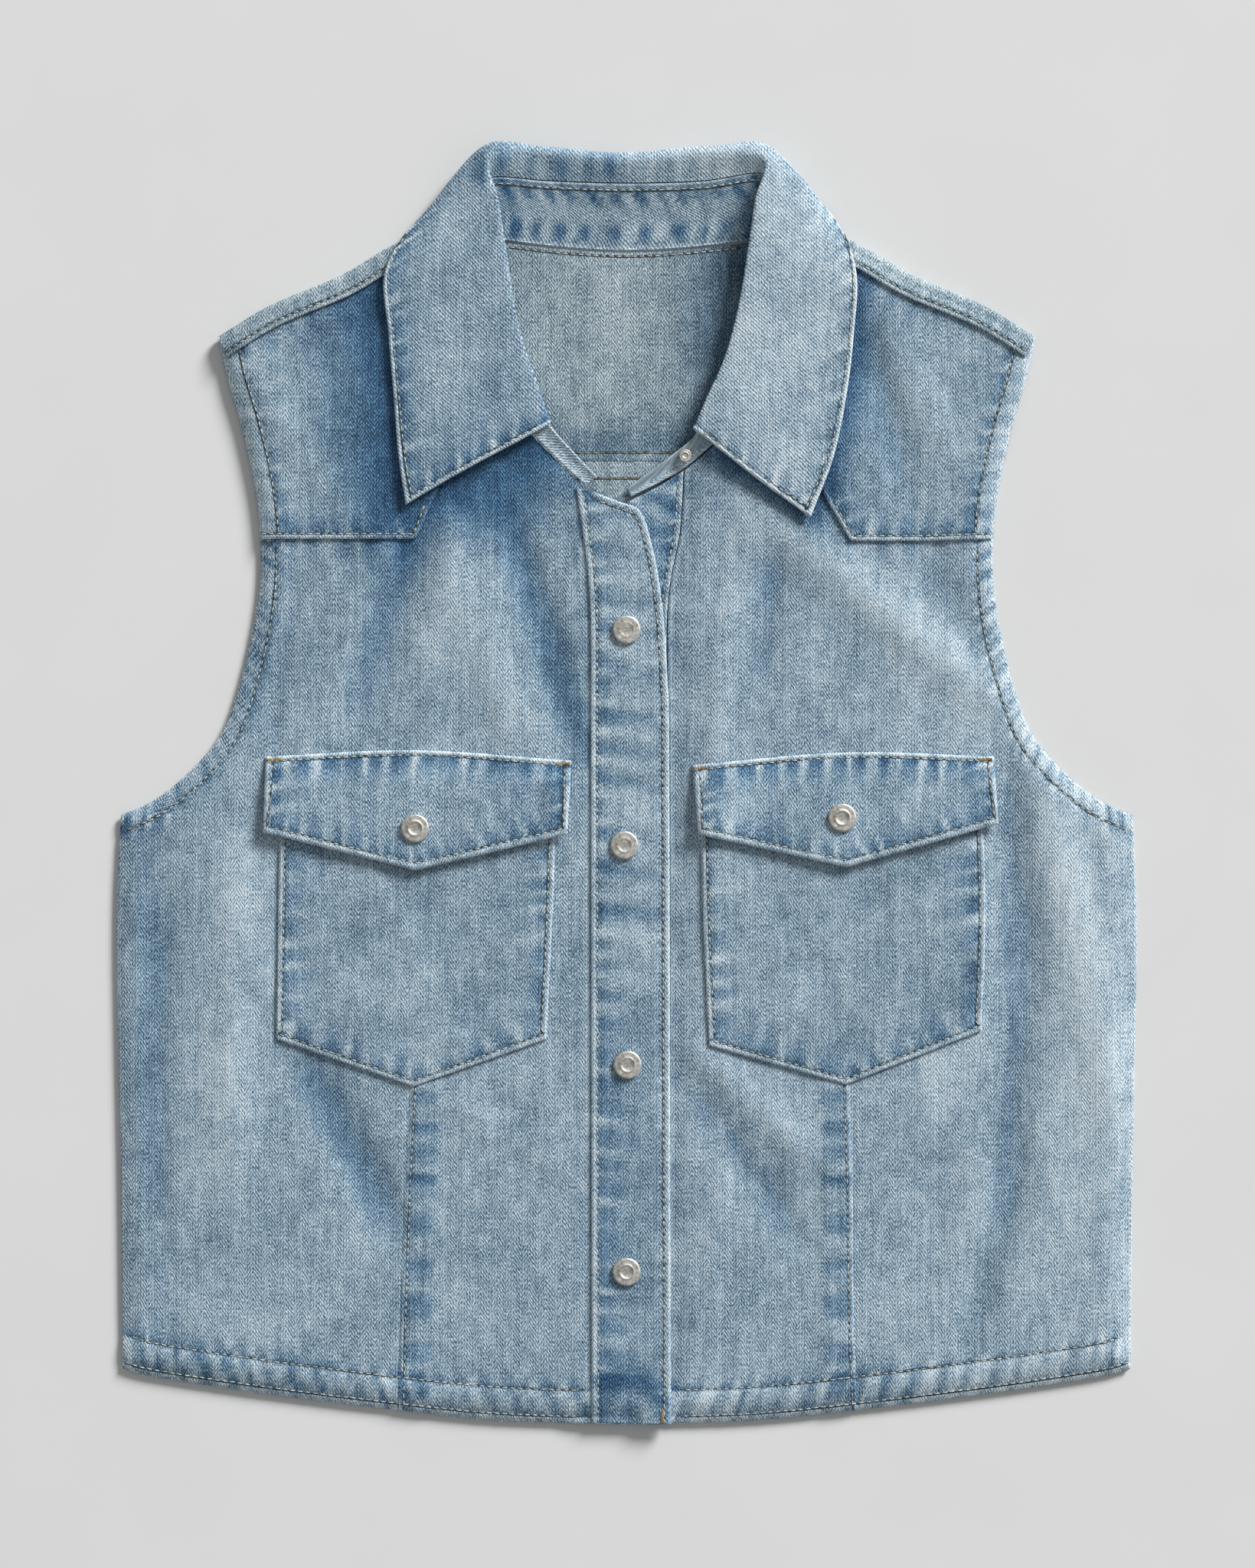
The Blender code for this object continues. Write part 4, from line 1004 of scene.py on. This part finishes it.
STAND = [
    # neck_x, neck_y, neck_z, top_x, top_y, top_z
    (-19.5, 141.5, 6.4, -14, 145.5, 6.9),
    (-30, 151, 6.6, -24, 156, 7.6),
    (-43, 164, 6.6, -37, 171, 8.2),
    (-58, 180, 6.6, -44, 187, 8.6),
    (-70, 200, 6.6, -51, 204, 8.8),
    (-76, 223, 6.6, -56, 224, 9.0),
    (-77, 247, 6.2, -60, 252, 9.4),
    (-70, 260, 3.6, -62, 277, 9.6),
    (-59, 258, 1.6, -64, 287, 9.0),
    (-30, 254.5, 0.9, -36, 285.5, 7.4),
    (0, 253, 0.9, 0, 284.5, 7.0),
    (30, 254.5, 0.9, 36, 285.5, 7.4),
    (59, 258, 1.6, 64, 289, 9.0),
    (70, 260, 3.6, 63, 278, 9.6),
    (77, 247, 6.2, 60, 252, 9.4),
    (76, 223, 6.6, 56, 224, 9.0),
    (70, 200, 6.6, 50, 201, 8.8),
    (57, 176, 6.4, 42, 183, 8.4),
    (38, 158.5, 5.4, 33, 166, 7.4),
    (28, 150.2, 3.9, 23, 157, 5.9),
    (15, 142.6, 3.5, 11, 148, 4.7),
    (2, 136.2, 3.4, 0, 140, 3.9),
]


def stations(table, spots):
    """Smooth rows through a table of stations, at the given places counted in stations."""
    table = np.array(table, float)
    knots = np.concatenate([[2 * table[0] - table[1]], table, [2 * table[-1] - table[-2]]])
    k = np.minimum(np.asarray(spots).astype(int), len(table) - 2)
    t = (spots - k).reshape(-1, *[1] * (table.ndim - 1))
    a, b, c, d = knots[k], knots[k + 1], knots[k + 2], knots[k + 3]
    bend = 2 * a - 5 * b + 4 * c - d
    turn = 3 * b - 3 * c + d - a
    return 0.5 * (2 * b + (c - a) * t + bend * t**2 + turn * t**3)


def sheet_normals(grid):
    normal = np.cross(np.gradient(grid, axis=1), np.gradient(grid, axis=0))
    return normal / np.linalg.norm(normal, axis=-1, keepdims=True)


def runs(grid, axis):
    """How far each point is along its row or column, in millimetres."""
    steps = np.linalg.norm(np.diff(grid, axis=axis), axis=-1)
    start = np.zeros_like(np.take(steps, [0], axis=axis))
    return np.concatenate([start, np.cumsum(steps, axis=axis)], axis=axis)


# The collar's denim has a plain twill: a chevron too wide to turn back, and lines 1.9 mm apart.
denim_collar = denim("denim_collar", INDIGO, line_depth=0.16, chevron=2000.0, climb_by=1.0,
                     line=1.9)

STAND_STATION = 16   # millimetres from one station to the next, near the ends
STAND_ROW = 2.4

count = len(STAND) - 1
head = RIM / STAND_STATION
spots = np.concatenate([head, np.linspace(0.26, count - 0.26, 250), count - head[::-1]])
rows = stations(STAND, spots)
steps = np.concatenate([[0, 0.02, 0.05], np.linspace(0.1, 0.9, 12), [0.95, 0.98, 1]])
steps = steps[:, None, None]
grid = rows[:, :3] * (1 - steps) + rows[:, 3:] * steps
grid[..., 2] -= 0.8 * np.sin(np.pi * steps[..., 0])
grid[..., 2] = np.maximum(grid[..., 2], CLOTH / 2 + REST)
along, up = runs(grid, 1), runs(grid, 0)
left = np.minimum(along, along[:, -1:] - along)
height, fade = gathered(up, along, stitch=1.6, spacing=9.0, seed=111, reach=9.0, slant=0.3,
                        swell=0.05, pucker=0.16)
far_height, far_fade = gathered(up[-1:] - up, along, stitch=1.5, spacing=10.0, seed=113, reach=9.0,
                                slant=0.3, swell=0.05, pucker=0.14)
away = np.minimum(np.minimum(up, up[-1:] - up), left)
drawn = turned_edge(away, CLOTH)
normal = sheet_normals(grid)
outer = grid + normal * (CLOTH / 2 + height + far_height - drawn)[..., None]
inner = grid - normal * (CLOTH / 2 - drawn)[..., None]
inner[..., 2] = np.maximum(inner[..., 2], REST)
# Inside the neck the wash left two rows of blue patches, and both back corners are painted darker
# as painted shade.
under_top = up[-1:] - up
low_patches = (1.15 * uneven(along, 12.0, 115) - 0.45) * bell(up - 8.0, 5.0)
high_patches = (1.3 * uneven(along, 11.0, 116) - 0.45) * bell(under_top - 7.0, 4.5)
corner = bell(np.abs(grid[..., 0]) - 60, 9) * soft_step((grid[..., 1] - 235) / 15)
stand_wash_and_shade = 0.6 * (fade + far_fade) + low_patches + high_patches - 0.7 * corner + 0.30
stand_wash_and_shade = np.where(grid[..., 1] < 225, 0.25 + 0.4 * uneven(along, 9.0, 117), stand_wash_and_shade)
stand = shell("collar_stand", outer, inner, grid_faces(*away.shape),
              np.dstack([along + 300, up]), stand_wash_and_shade,
              0.7 * bell(away, 1.0), denim_collar)
stand_row = outer[int(np.argmin(abs(under_top.mean(axis=1) - STAND_ROW)))]
stand_row = stand_row[stand_row[:, 1] > 240]


# The leaf is the collar's outer layer: two plies bagged out, sewn to the top of the stand.
# It rises to a soft crest round the neck and falls outward to long points on the yokes.

LEAF_FIRST, LEAF_LAST = 2, 18    # the stations of the stand between which the leaf is sewn
LEAF = [
    # crest, turn and edge, each x, y, z
    (-40, 168, 11.0, -78, 147.5, 11.4, -104.5, 132, 10.8),
    (-45, 185, 11.4, -84, 167, 11.4, -108, 155, 10.6),
    (-51, 204, 11.8, -90, 195, 11.2, -110.5, 186, 10.6),
    (-56, 224, 12.2, -94, 219, 11.4, -112.7, 213, 10.8),
    (-60, 250, 13.0, -97, 247, 11.8, -114.2, 243, 11.0),
    (-63, 275, 13.6, -88, 274, 9.6, -98, 268, 4.2),
    (-65, 296.5, 13.0, -67, 301.5, 8.6, -71, 291, 1.4),
    (-40, 298.5, 10.6, -38, 300.2, 5.6, -37, 286, 0.7),
    (0, 295.5, 10.2, 0, 297.6, 5.4, 0, 284, 0.7),
    (40, 298.5, 10.6, 38, 300.2, 5.6, 37, 286, 0.7),
    (65, 296.5, 13.0, 67, 301.5, 8.6, 71, 291, 1.4),
    (63, 275, 13.6, 88, 274, 9.6, 98, 268, 4.2),
    (60, 250, 13.0, 93, 247, 11.8, 108.5, 243, 11.0),
    (55.5, 224, 12.2, 90, 217, 11.4, 107.3, 211, 10.8),
    (49.5, 201, 11.8, 85, 190, 11.2, 104, 184, 10.6),
    (41, 181, 11.4, 78, 162, 11.4, 98, 155, 10.6),
    (34, 166, 11.0, 62, 144, 11.4, 87, 126, 10.8),
]
LEAF_STATION = 21    # millimetres from one station to the next along its edge
LEAF_ACROSS = 31     # and from the turn to the edge
LEAF_EDGE = 2.0      # thickness at its sewn edge
LEAF_ROW = 2.3

count = len(LEAF) - 1
head = RIM / LEAF_STATION
spots = np.concatenate([head, np.linspace(0.2, count - 0.2, 236), count - head[::-1]])
start = stations(STAND, LEAF_FIRST + spots * (LEAF_LAST - LEAF_FIRST) / count)[:, 3:]
rails = stations(LEAF, spots)
toward = rails[:, :3] - start
start = start + 0.4 * toward / np.linalg.norm(toward, axis=1, keepdims=True)
cross = np.stack([start, rails[:, :3], rails[:, 3:6], rails[:, 6:]])
steps = np.concatenate([np.linspace(0, 2.8, 52), 3 - RIM[::-1] / LEAF_ACROSS])
grid = stations(cross, steps)
grid[..., 2] = np.maximum(grid[..., 2], CLOTH / 2 + REST)
along, down = runs(grid, 1), runs(grid, 0)
left = np.minimum(along, along[:, -1:] - along)
below = down[-1:] - down
leaf_row = {"stitch": LEAF_ROW, "spacing": 10.0, "reach": 11.0, "slant": 0.25, "swell": 0.22,
            "pucker": 0.24}
height, fade = gathered(below, along, seed=121, **leaf_row)
end_height, end_fade = gathered(left, down, seed=123, **leaf_row)
near_end = left < below
height = np.where(near_end, end_height, height)
fade = np.where(near_end, end_fade, fade)
away = np.minimum(below, left)
drawn = turned_edge(away, LEAF_EDGE)
swell = 0.35 * uneven(along + 0.5 * down, 70.0, 125) * soft_step(away / 18) * soft_step(down / 12)
crest = bell(down - down[17:18], 5.0)
normal = sheet_normals(grid)
thin = soft_step(away / 24) * (LEAF_EDGE - CLOTH)
outer = grid + normal * (CLOTH / 2 + height + swell - drawn)[..., None]
inner = grid - normal * (LEAF_EDGE - CLOTH / 2 - thin - drawn)[..., None]
inner[..., 2] = np.maximum(inner[..., 2], REST)
# The left leaf is painted lighter and the right one darker, as painted light on the leaf that faces
# the lamp.
leaf_wash_and_light = 1.3 * fade + 0.4 * swell + np.where(grid[..., 0] > 0, 0.46, -0.10)
behind = bell(down - 7.0, 6.0) * soft_step((grid[..., 1] - 276) / 10)
leaf_wash_and_light = leaf_wash_and_light + behind * (0.6 * uneven(grid[..., 0], 12.0, 127) - 0.15)
leaf = shell("collar_leaf", outer, inner, grid_faces(*away.shape),
             np.dstack([grid[..., 0] + 300, grid[..., 1]]), leaf_wash_and_light,
             0.9 * bell(away, 1.2) + 0.15 * crest, denim_collar)
edge_row = outer[int(np.argmin(abs(below.mean(axis=1) - LEAF_ROW)))]
first_row, last_row = outer[20:-5, 5], outer[20:-5, -6]
leaf_rows = [edge_row[(edge_row[:, 1] < 262) & (edge_row[:, 0] < 0)],
             edge_row[(edge_row[:, 1] < 262) & (edge_row[:, 0] > 0)], first_row, last_row]


# Seven snaps: caps stamped from brass sheet, nickel plated and tumbled dull, with a rolled
# rim, a raised ring and a sunk middle, set through the cloth. The smallest is a neck stud.

SNAP_RADIUS = 6.7
SNAP_HEIGHT = 2.2
PLACKET_SNAPS = [(0, 73), (-1, -29), (0.5, -133), (0, -231)]
FLAP_SNAPS = {"right": (-100, -21), "left": (102, -16)}
STUD_AT = (27.8, 155.5)
STUD_RADIUS = 3.0
STUD_HEIGHT = 1.6

# Nickel, tumbled: warm grey and half sharp, with scuffs and fine turning marks, which are
# drawn 0.8 mm apart so that they show.
nickel = empty_material("tumbled_nickel")
tree = nickel.node_tree
spot_on_cap = add(tree, "Attribute", {"attribute_name": "grain"}).outputs["Vector"]
scuff = add(tree, "TexNoise", {"Scale": 0.9, "Detail": 3.0}, {"Vector": spot_on_cap})
stain = add(tree, "TexNoise", {"Scale": 0.25, "Detail": 2.0}, {"Vector": spot_on_cap})
turning = add(tree, "TexWave", {"wave_type": "RINGS", "rings_direction": "Z", "Scale": 0.4,
                                "Distortion": 0.6}, {"Vector": spot_on_cap})
cap_tone = add(tree, "Math", {"operation": "MULTIPLY_ADD", 1: 0.6}, {0: scuff, 2: stain})
cap_stops = [(0.45, "#a5a196"), (0.75, "#cbc8bf"), (1.0, "#e6e4de")]
cap_colour = add(tree, "ValToRGB", {"stops": cap_stops}, {"Fac": cap_tone})
cap_relief = add(tree, "Bump", {"Strength": 0.35, "Distance": 0.0001},
                 {"Height": add(tree, "Math", {"operation": "MULTIPLY_ADD", 1: 0.5},
                                {0: turning, 2: scuff})})
cap_rough = add(tree, "MapRange",
                {"From Min": 0.3, "From Max": 0.7, "To Min": 0.46, "To Max": 0.66},
                {"Value": scuff})
cap_shader = add(tree, "BsdfPrincipled", {"Metallic": 1.0},
                 {"Base Color": cap_colour, "Roughness": cap_rough, "Normal": cap_relief})
add(tree, "OutputMaterial", {}, {"Surface": cap_shader})

# A cap's section as shares of its radius and height, and what each of its points gains from
# the ring round the middle, which is faint on the placket's caps and proud on the flaps'.
CAP = [(0.0, 0.70), (0.16, 0.70), (0.30, 0.71), (0.38, 0.72), (0.43, 0.75), (0.48, 0.79),
       (0.53, 0.79), (0.58, 0.77), (0.66, 0.78), (0.76, 0.79), (0.85, 0.80), (0.91, 0.79),
       (0.96, 0.70), (0.99, 0.52), (1.0, 0.34), (0.99, 0.12), (0.95, -0.10), (0.0, -0.10)]
RING = {3: -0.06, 4: 0.04, 5: 0.11, 6: 0.11, 7: 0.03, 0: -0.10, 1: -0.10, 2: -0.09}


def snap(node, spot, radius, tall, ring):
    """A turned cap in the place of its solid, its ring as proud as ring says."""
    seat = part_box(node)[0][2] / MM
    profile = [(share, level + ring * RING.get(k, 0.0)) for k, (share, level) in enumerate(CAP)]
    turns = 64
    inner_rows = len(CAP) - 3
    angles = np.linspace(0.0, 2 * np.pi, turns, endpoint=False)
    verts = [(spot[0], spot[1], seat + profile[0][1] * tall)]
    for share, level in profile[1:-1]:
        for angle in angles:
            verts.append((spot[0] + radius * share * np.cos(angle),
                          spot[1] + radius * share * np.sin(angle), seat + level * tall))
    base = len(verts)
    verts.append((spot[0], spot[1], seat + CAP[-1][1] * tall))
    faces = []
    for j in range(turns):
        k = (j + 1) % turns
        faces.append((0, 1 + j, 1 + k))
        for row in range(inner_rows):
            low = 1 + row * turns
            faces.append((low + j, low + turns + j, low + turns + k, low + k))
        low = 1 + inner_rows * turns
        faces.append((low + k, low + j, base))
    made = object_from(node + "_cap", verts, faces, nickel)
    layer = made.data.attributes.new("grain", "FLOAT_VECTOR", "POINT")
    layer.data.foreach_set("vector", (np.array(verts) - (*spot, seat)).reshape(-1))
    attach(made, "root")
    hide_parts(node)


for number, (spot, ring) in enumerate(zip(PLACKET_SNAPS, (0.0, 0.25, 0.5, 0.7)), 1):
    snap("snap_%d" % number, spot, SNAP_RADIUS, SNAP_HEIGHT, ring)
for side, spot in FLAP_SNAPS.items():
    snap("snap_flap_" + side, spot, SNAP_RADIUS, SNAP_HEIGHT, 1.0)
snap("snap_stud_neck", STUD_AT, STUD_RADIUS, STUD_HEIGHT, 1.0)


# Every seam is lockstitched in undyed cotton thread, about seven stitches to the inch. Each
# stitch lies in the groove that it pulls into the cloth, and a dark strip laid under it paints
# the groove's shade.

PITCH = 3.6          # from one stitch to the next
THREAD = 0.30        # half the thickness of the thread


def cast_down(tree, x, y):
    """Height of a piece's upper face under a point, or nothing where there is none."""
    place = tree.ray_cast((x * MM, y * MM, 0.1), (0.0, 0.0, -1.0))[0]
    return place.z / MM if place else None


def tree_of(piece):
    mesh = piece.data
    return BVHTree.FromPolygons([v.co for v in mesh.vertices], [p.vertices for p in mesh.polygons])


def strand(shape, spots, across, sizes, sides=6):
    """Adds one short piece of thread through the given points to a shape's points and faces."""
    verts, faces = shape
    here = len(verts)
    for spot, size in zip(spots, sizes):
        for j in range(sides):
            angle = 2 * np.pi * j / sides
            side = across * np.cos(angle) * size
            verts.append((*(spot[:2] + side), spot[2] + np.sin(angle) * size * 0.8))
    for ring in range(len(spots) - 1):
        low = here + ring * sides
        for j in range(sides):
            k = (j + 1) % sides
            faces.append((low + j, low + k, low + sides + k, low + sides + j))
    faces.append(tuple(here + j for j in reversed(range(sides))))
    faces.append(tuple(here + (len(spots) - 1) * sides + j for j in range(sides)))


def thread_run(line, trees, sewing, groove_shade, seed):
    """Adds one row of stitches, and a dark strip of painted shade in the groove under it, along a
    line on the given pieces.
    """
    chance = np.random.default_rng(seed)
    groove_verts, groove_faces = groove_shade
    total = length(line)
    count = max(int(total / (PITCH / 3)), 2)
    places = np.linspace(0.3, total - 0.3, count) / total
    track = at(line, places)[:, :2]
    levels = []
    for x, y in track:
        found = [z for z in (cast_down(tree, x, y) for tree in trees) if z is not None]
        levels.append(max(found) if found else np.nan)
    levels = np.array(levels)
    run = np.gradient(track, axis=0)
    run /= np.linalg.norm(run, axis=1, keepdims=True)
    across = np.stack([-run[:, 1], run[:, 0]], axis=1)
    last = None
    for k in range(count):
        if np.isnan(levels[k]):
            last = None
            continue
        here = len(groove_verts)
        for off, up in ((-0.85, -0.12), (-0.5, 0.08), (0.5, 0.08), (0.85, -0.12)):
            groove_verts.append((*(track[k] + across[k] * off), levels[k] + up))
        if last is not None:
            for j in range(3):
                groove_faces.append((last + j, last + j + 1, here + j + 1, here + j))
        last = here
    for k in range(0, count - 3, 3):
        three = levels[k:k + 3]
        if np.isnan(three).any():
            continue
        start = track[k] + across[k] * chance.normal(0, 0.06)
        end = track[k + 2] + across[k + 2] * chance.normal(0, 0.06)
        size = THREAD * chance.uniform(0.85, 1.12)
        shares = np.array([0.0, 0.12, 0.5, 0.88, 1.0])
        spots = start * (1 - shares[:, None]) + end * shares[:, None]
        level = np.interp(shares, [0, 0.5, 1], three) + (-0.05, 0.16, 0.27, 0.16, -0.05)
        sizes = size * np.array([0.35, 0.8, 1.0, 0.8, 0.35])
        strand(sewing, np.column_stack([spots, level]), across[k], sizes)


def bar_tack(middle, run, tree, sewing, seed):
    """A bar of close stitches 6 mm long, run across the end of a seam."""
    chance = np.random.default_rng(seed)
    run = np.array(run) / np.hypot(*run)
    across = np.array([-run[1], run[0]])
    for off in np.linspace(-3.0, 3.0, 17):
        spot = np.array(middle) + off * run
        level = cast_down(tree, *spot)
        if level is None:
            continue
        shares = np.array([-0.8, -0.6, 0.0, 0.6, 0.8]) * chance.uniform(0.8, 1.1)
        spots = spot + shares[:, None] * across + chance.normal(0, 0.04, 2)
        heights = level + np.array([-0.05, 0.15, 0.28, 0.15, -0.05])
        strand(sewing, np.column_stack([spots, heights]), run, np.full(5, 0.22))


def cotton(name, dark, middle, pale):
    """Cotton sewing thread: matt, slightly hairy, its twist drawn 1.3 mm long so that it shows."""
    made = empty_material(name)
    tree = made.node_tree
    where = add(tree, "TexCoord").outputs["Object"]
    twist = add(tree, "TexWave", {"bands_direction": "DIAGONAL", "Scale": 480.0,
                                  "Distortion": 2.0}, {"Vector": where})
    dirt = add(tree, "TexNoise", {"Scale": 110.0, "Detail": 2.0}, {"Vector": where})
    tone = add(tree, "Math", {"operation": "MULTIPLY_ADD", 1: 0.25}, {0: twist, 2: dirt})
    colour = add(tree, "ValToRGB", {"stops": [(0.35, dark), (0.62, middle), (0.9, pale)]},
                 {"Fac": tone})
    relief = add(tree, "Bump", {"Strength": 0.4, "Distance": 0.0001}, {"Height": twist})
    shader = add(tree, "BsdfPrincipled", {"Roughness": 0.85, "Specular IOR Level": 0.25,
                                          "Sheen Weight": 0.2},
                 {"Base Color": colour, "Normal": relief})
    add(tree, "OutputMaterial", {}, {"Surface": shader})
    return made


# Undyed thread on the outside, and gold-brown thread for the back seam and the bar tacks.
thread = cotton("cotton_thread", "#7d8280", "#b4b8b3", "#dcddd5")
brown_thread = cotton("brown_thread", "#6f5c3c", "#96815a", "#b9a77e")

# A dark strip in the groove under a row: painted shade, broken to grey in places.
groove = empty_material("painted_groove_shade")
tree = groove.node_tree
where = add(tree, "TexCoord").outputs["Object"]
rubbed = add(tree, "TexNoise", {"Scale": 420.0, "Detail": 2.0}, {"Vector": where})
groove_stops = [(0.35, "#2c3a42"), (0.55, "#4d5c62"), (0.75, "#8c9aa0")]
groove_colour = add(tree, "ValToRGB", {"stops": groove_stops}, {"Fac": rubbed})
groove_shader = add(tree, "BsdfPrincipled", {"Roughness": 0.95, "Specular IOR Level": 0.1},
                    {"Base Color": groove_colour})
add(tree, "OutputMaterial", {}, {"Surface": groove_shader})

trees = {piece.name: tree_of(piece) for piece in
         [*fronts.values(), *yokes.values(), *pockets.values(), *flaps.values(), placket_left,
          placket_right, stand, leaf, back_yoke, back_body]}
rows = []
for side in ("right", "left"):
    sign = -1 if side == "right" else 1
    lines = OUTLINES[side]
    body = ["front_%s_cloth" % side]
    yoke = ["front_yoke_%s_cloth" % side]
    inner_x = -17 if side == "right" else 20
    hem = lines["hem"][0]
    for depth in (HEM_ROW, HEM_EDGE_ROW):
        line = inset(lines["hem"], depth * -sign)[0]
        rows.append((line[(line[:, 0] - inner_x) * sign > 0.5], body))
    arm = lines["armhole"][0]
    line = inset(smooth_line(arm[arm[:, 1] < 117], corners=True), ARMHOLE_ROW * sign)[0]
    rows.append((line[line[:, 1] < 115], body))
    line = inset(smooth_line(arm[arm[:, 1] > 110], corners=True), YOKE_ARM_ROW * sign)[0]
    rows.append((line[line[:, 1] > 118], yoke))
    low = smooth_line(YOKE_LOW[side], corners=True)
    rows.append((inset(low, YOKE_ROW * -sign)[0][:4], yoke))
    rows.append((np.array(DART[side]) + (DART_ROW * -sign, 0.0), body))
    rows.append((inset(pocket_edges[side], POCKET_ROW)[0], ["pocket_%s_cloth" % side]))
    flap = ["flap_%s_cloth" % side]
    rows.append((inset(flap_edges[side], FLAP_ROW)[0], flap))
    rows.append((inset(smooth_line(FLAP[side]["top"]), -FLAP_TOP_ROW)[0], flap))
    strip = inset(lines["shoulder"], (SHOULDER_LAP - SHOULDER_ROW) * sign)[0]
    rows.append((strip, ["back_yoke_cloth"]))
band = ["placket_right_cloth"]
rows.append((inset(smooth_line(PLACKET_RIGHT_OUT), -PLACKET_OUT_ROW)[0], band))
rows.append((inset(smooth_line(PLACKET_RIGHT_EDGE), PLACKET_EDGE_ROW)[0], band))
rows.append((inset(smooth_line(UNDER_SEAM), UNDER_ROW)[0], ["placket_left_cloth"]))
rows.append((stand_row[:, :2], ["collar_stand_cloth"]))
for line in leaf_rows:
    rows.append((line[:, :2], ["collar_leaf_cloth"]))
neck = smooth_line(BACK_NECK)[0]
rows.append((neck[np.abs(neck[:, 0]) < 58] - (0, 2.7), ["back_yoke_cloth"]))

sewing, brown_sewing, groove_shade = ([], []), ([], []), ([], [])
for number, (line, names) in enumerate(rows):
    thread_run(smooth_line(line, corners=True), [trees[name] for name in names], sewing, groove_shade,
               200 + number)
for level in (BACK_YOKE_SEAM - SEAM_ROW, BACK_YOKE_SEAM + YOKE_SEAM_ROW):
    line = smooth_line([(-100.0, level), (100.0, level)])
    thread_run(line, [trees["back_body_cloth"], trees["back_yoke_cloth"]], brown_sewing, groove_shade,
               int(level))
for side in ("right", "left"):
    for place, run in ((0, 1), (-1, -1)):
        corner = np.array(FLAP[side]["top"][place])
        spot = corner + np.array([4.2, -1.6]) * (1 if place == 0 else -1, 1)
        bar_tack(spot, (1.0, 0.04), trees["flap_%s_cloth" % side], brown_sewing, 300 + place)
bar_tack((-17.6, -300.5), (0.1, 1.0), trees["placket_right_cloth"], brown_sewing, 304)
bar_tack((17.0, -299.5), (0.1, 1.0), trees["placket_right_cloth"], brown_sewing, 305)

# Hem and armholes are rubbed through at the fold, and short ends of the white weft, up to
# 1.7 mm long and about 1.4 mm apart, stand out there.
FRAY_STEP = 1.35
FRAY = (0.6, 1.7)

lint = ([], [])
chance = np.random.default_rng(17)
for side in ("right", "left"):
    sign = -1 if side == "right" else 1
    arm = OUTLINES[side]["armhole"][0]
    hem = OUTLINES[side]["hem"][0]
    hem = hem[hem[:, 0] * sign > 1]
    for line, turn in ((hem, sign), (arm, -sign)):
        line = smooth_line(line, corners=True)
        total = length(line)
        for place in np.arange(1.0, total - 1.0, FRAY_STEP):
            place = (place + chance.uniform(-0.4, 0.4)) / total
            spot, ahead = at(line, place), at(line, min(place + 0.002, 1.0))
            run = (ahead - spot) / max(np.hypot(*(ahead - spot)), 1e-9)
            out = np.array([run[1], -run[0]]) * turn
            reach = chance.uniform(*FRAY)
            lean = chance.normal(0, 0.45)
            tip = spot + (out + lean * run) * reach
            start = spot - 0.5 * out
            low = chance.uniform(1.2, 2.4)
            middle = start * 0.5 + tip * 0.5
            spots = [(*start, low + 0.3), (*middle, low + 0.1), (*tip, low - 0.5)]
            strand(lint, np.array(spots), run, (0.14, 0.11, 0.05), 3)

for name, (verts, faces), cotton_kind in (("stitches", sewing, thread),
                                          ("brown_stitches", brown_sewing, brown_thread),
                                          ("stitch_groove_shade", groove_shade, groove),
                                          ("frayed_ends", lint, thread)):
    made = object_from(name, verts, faces, cotton_kind)
    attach(made, "root")
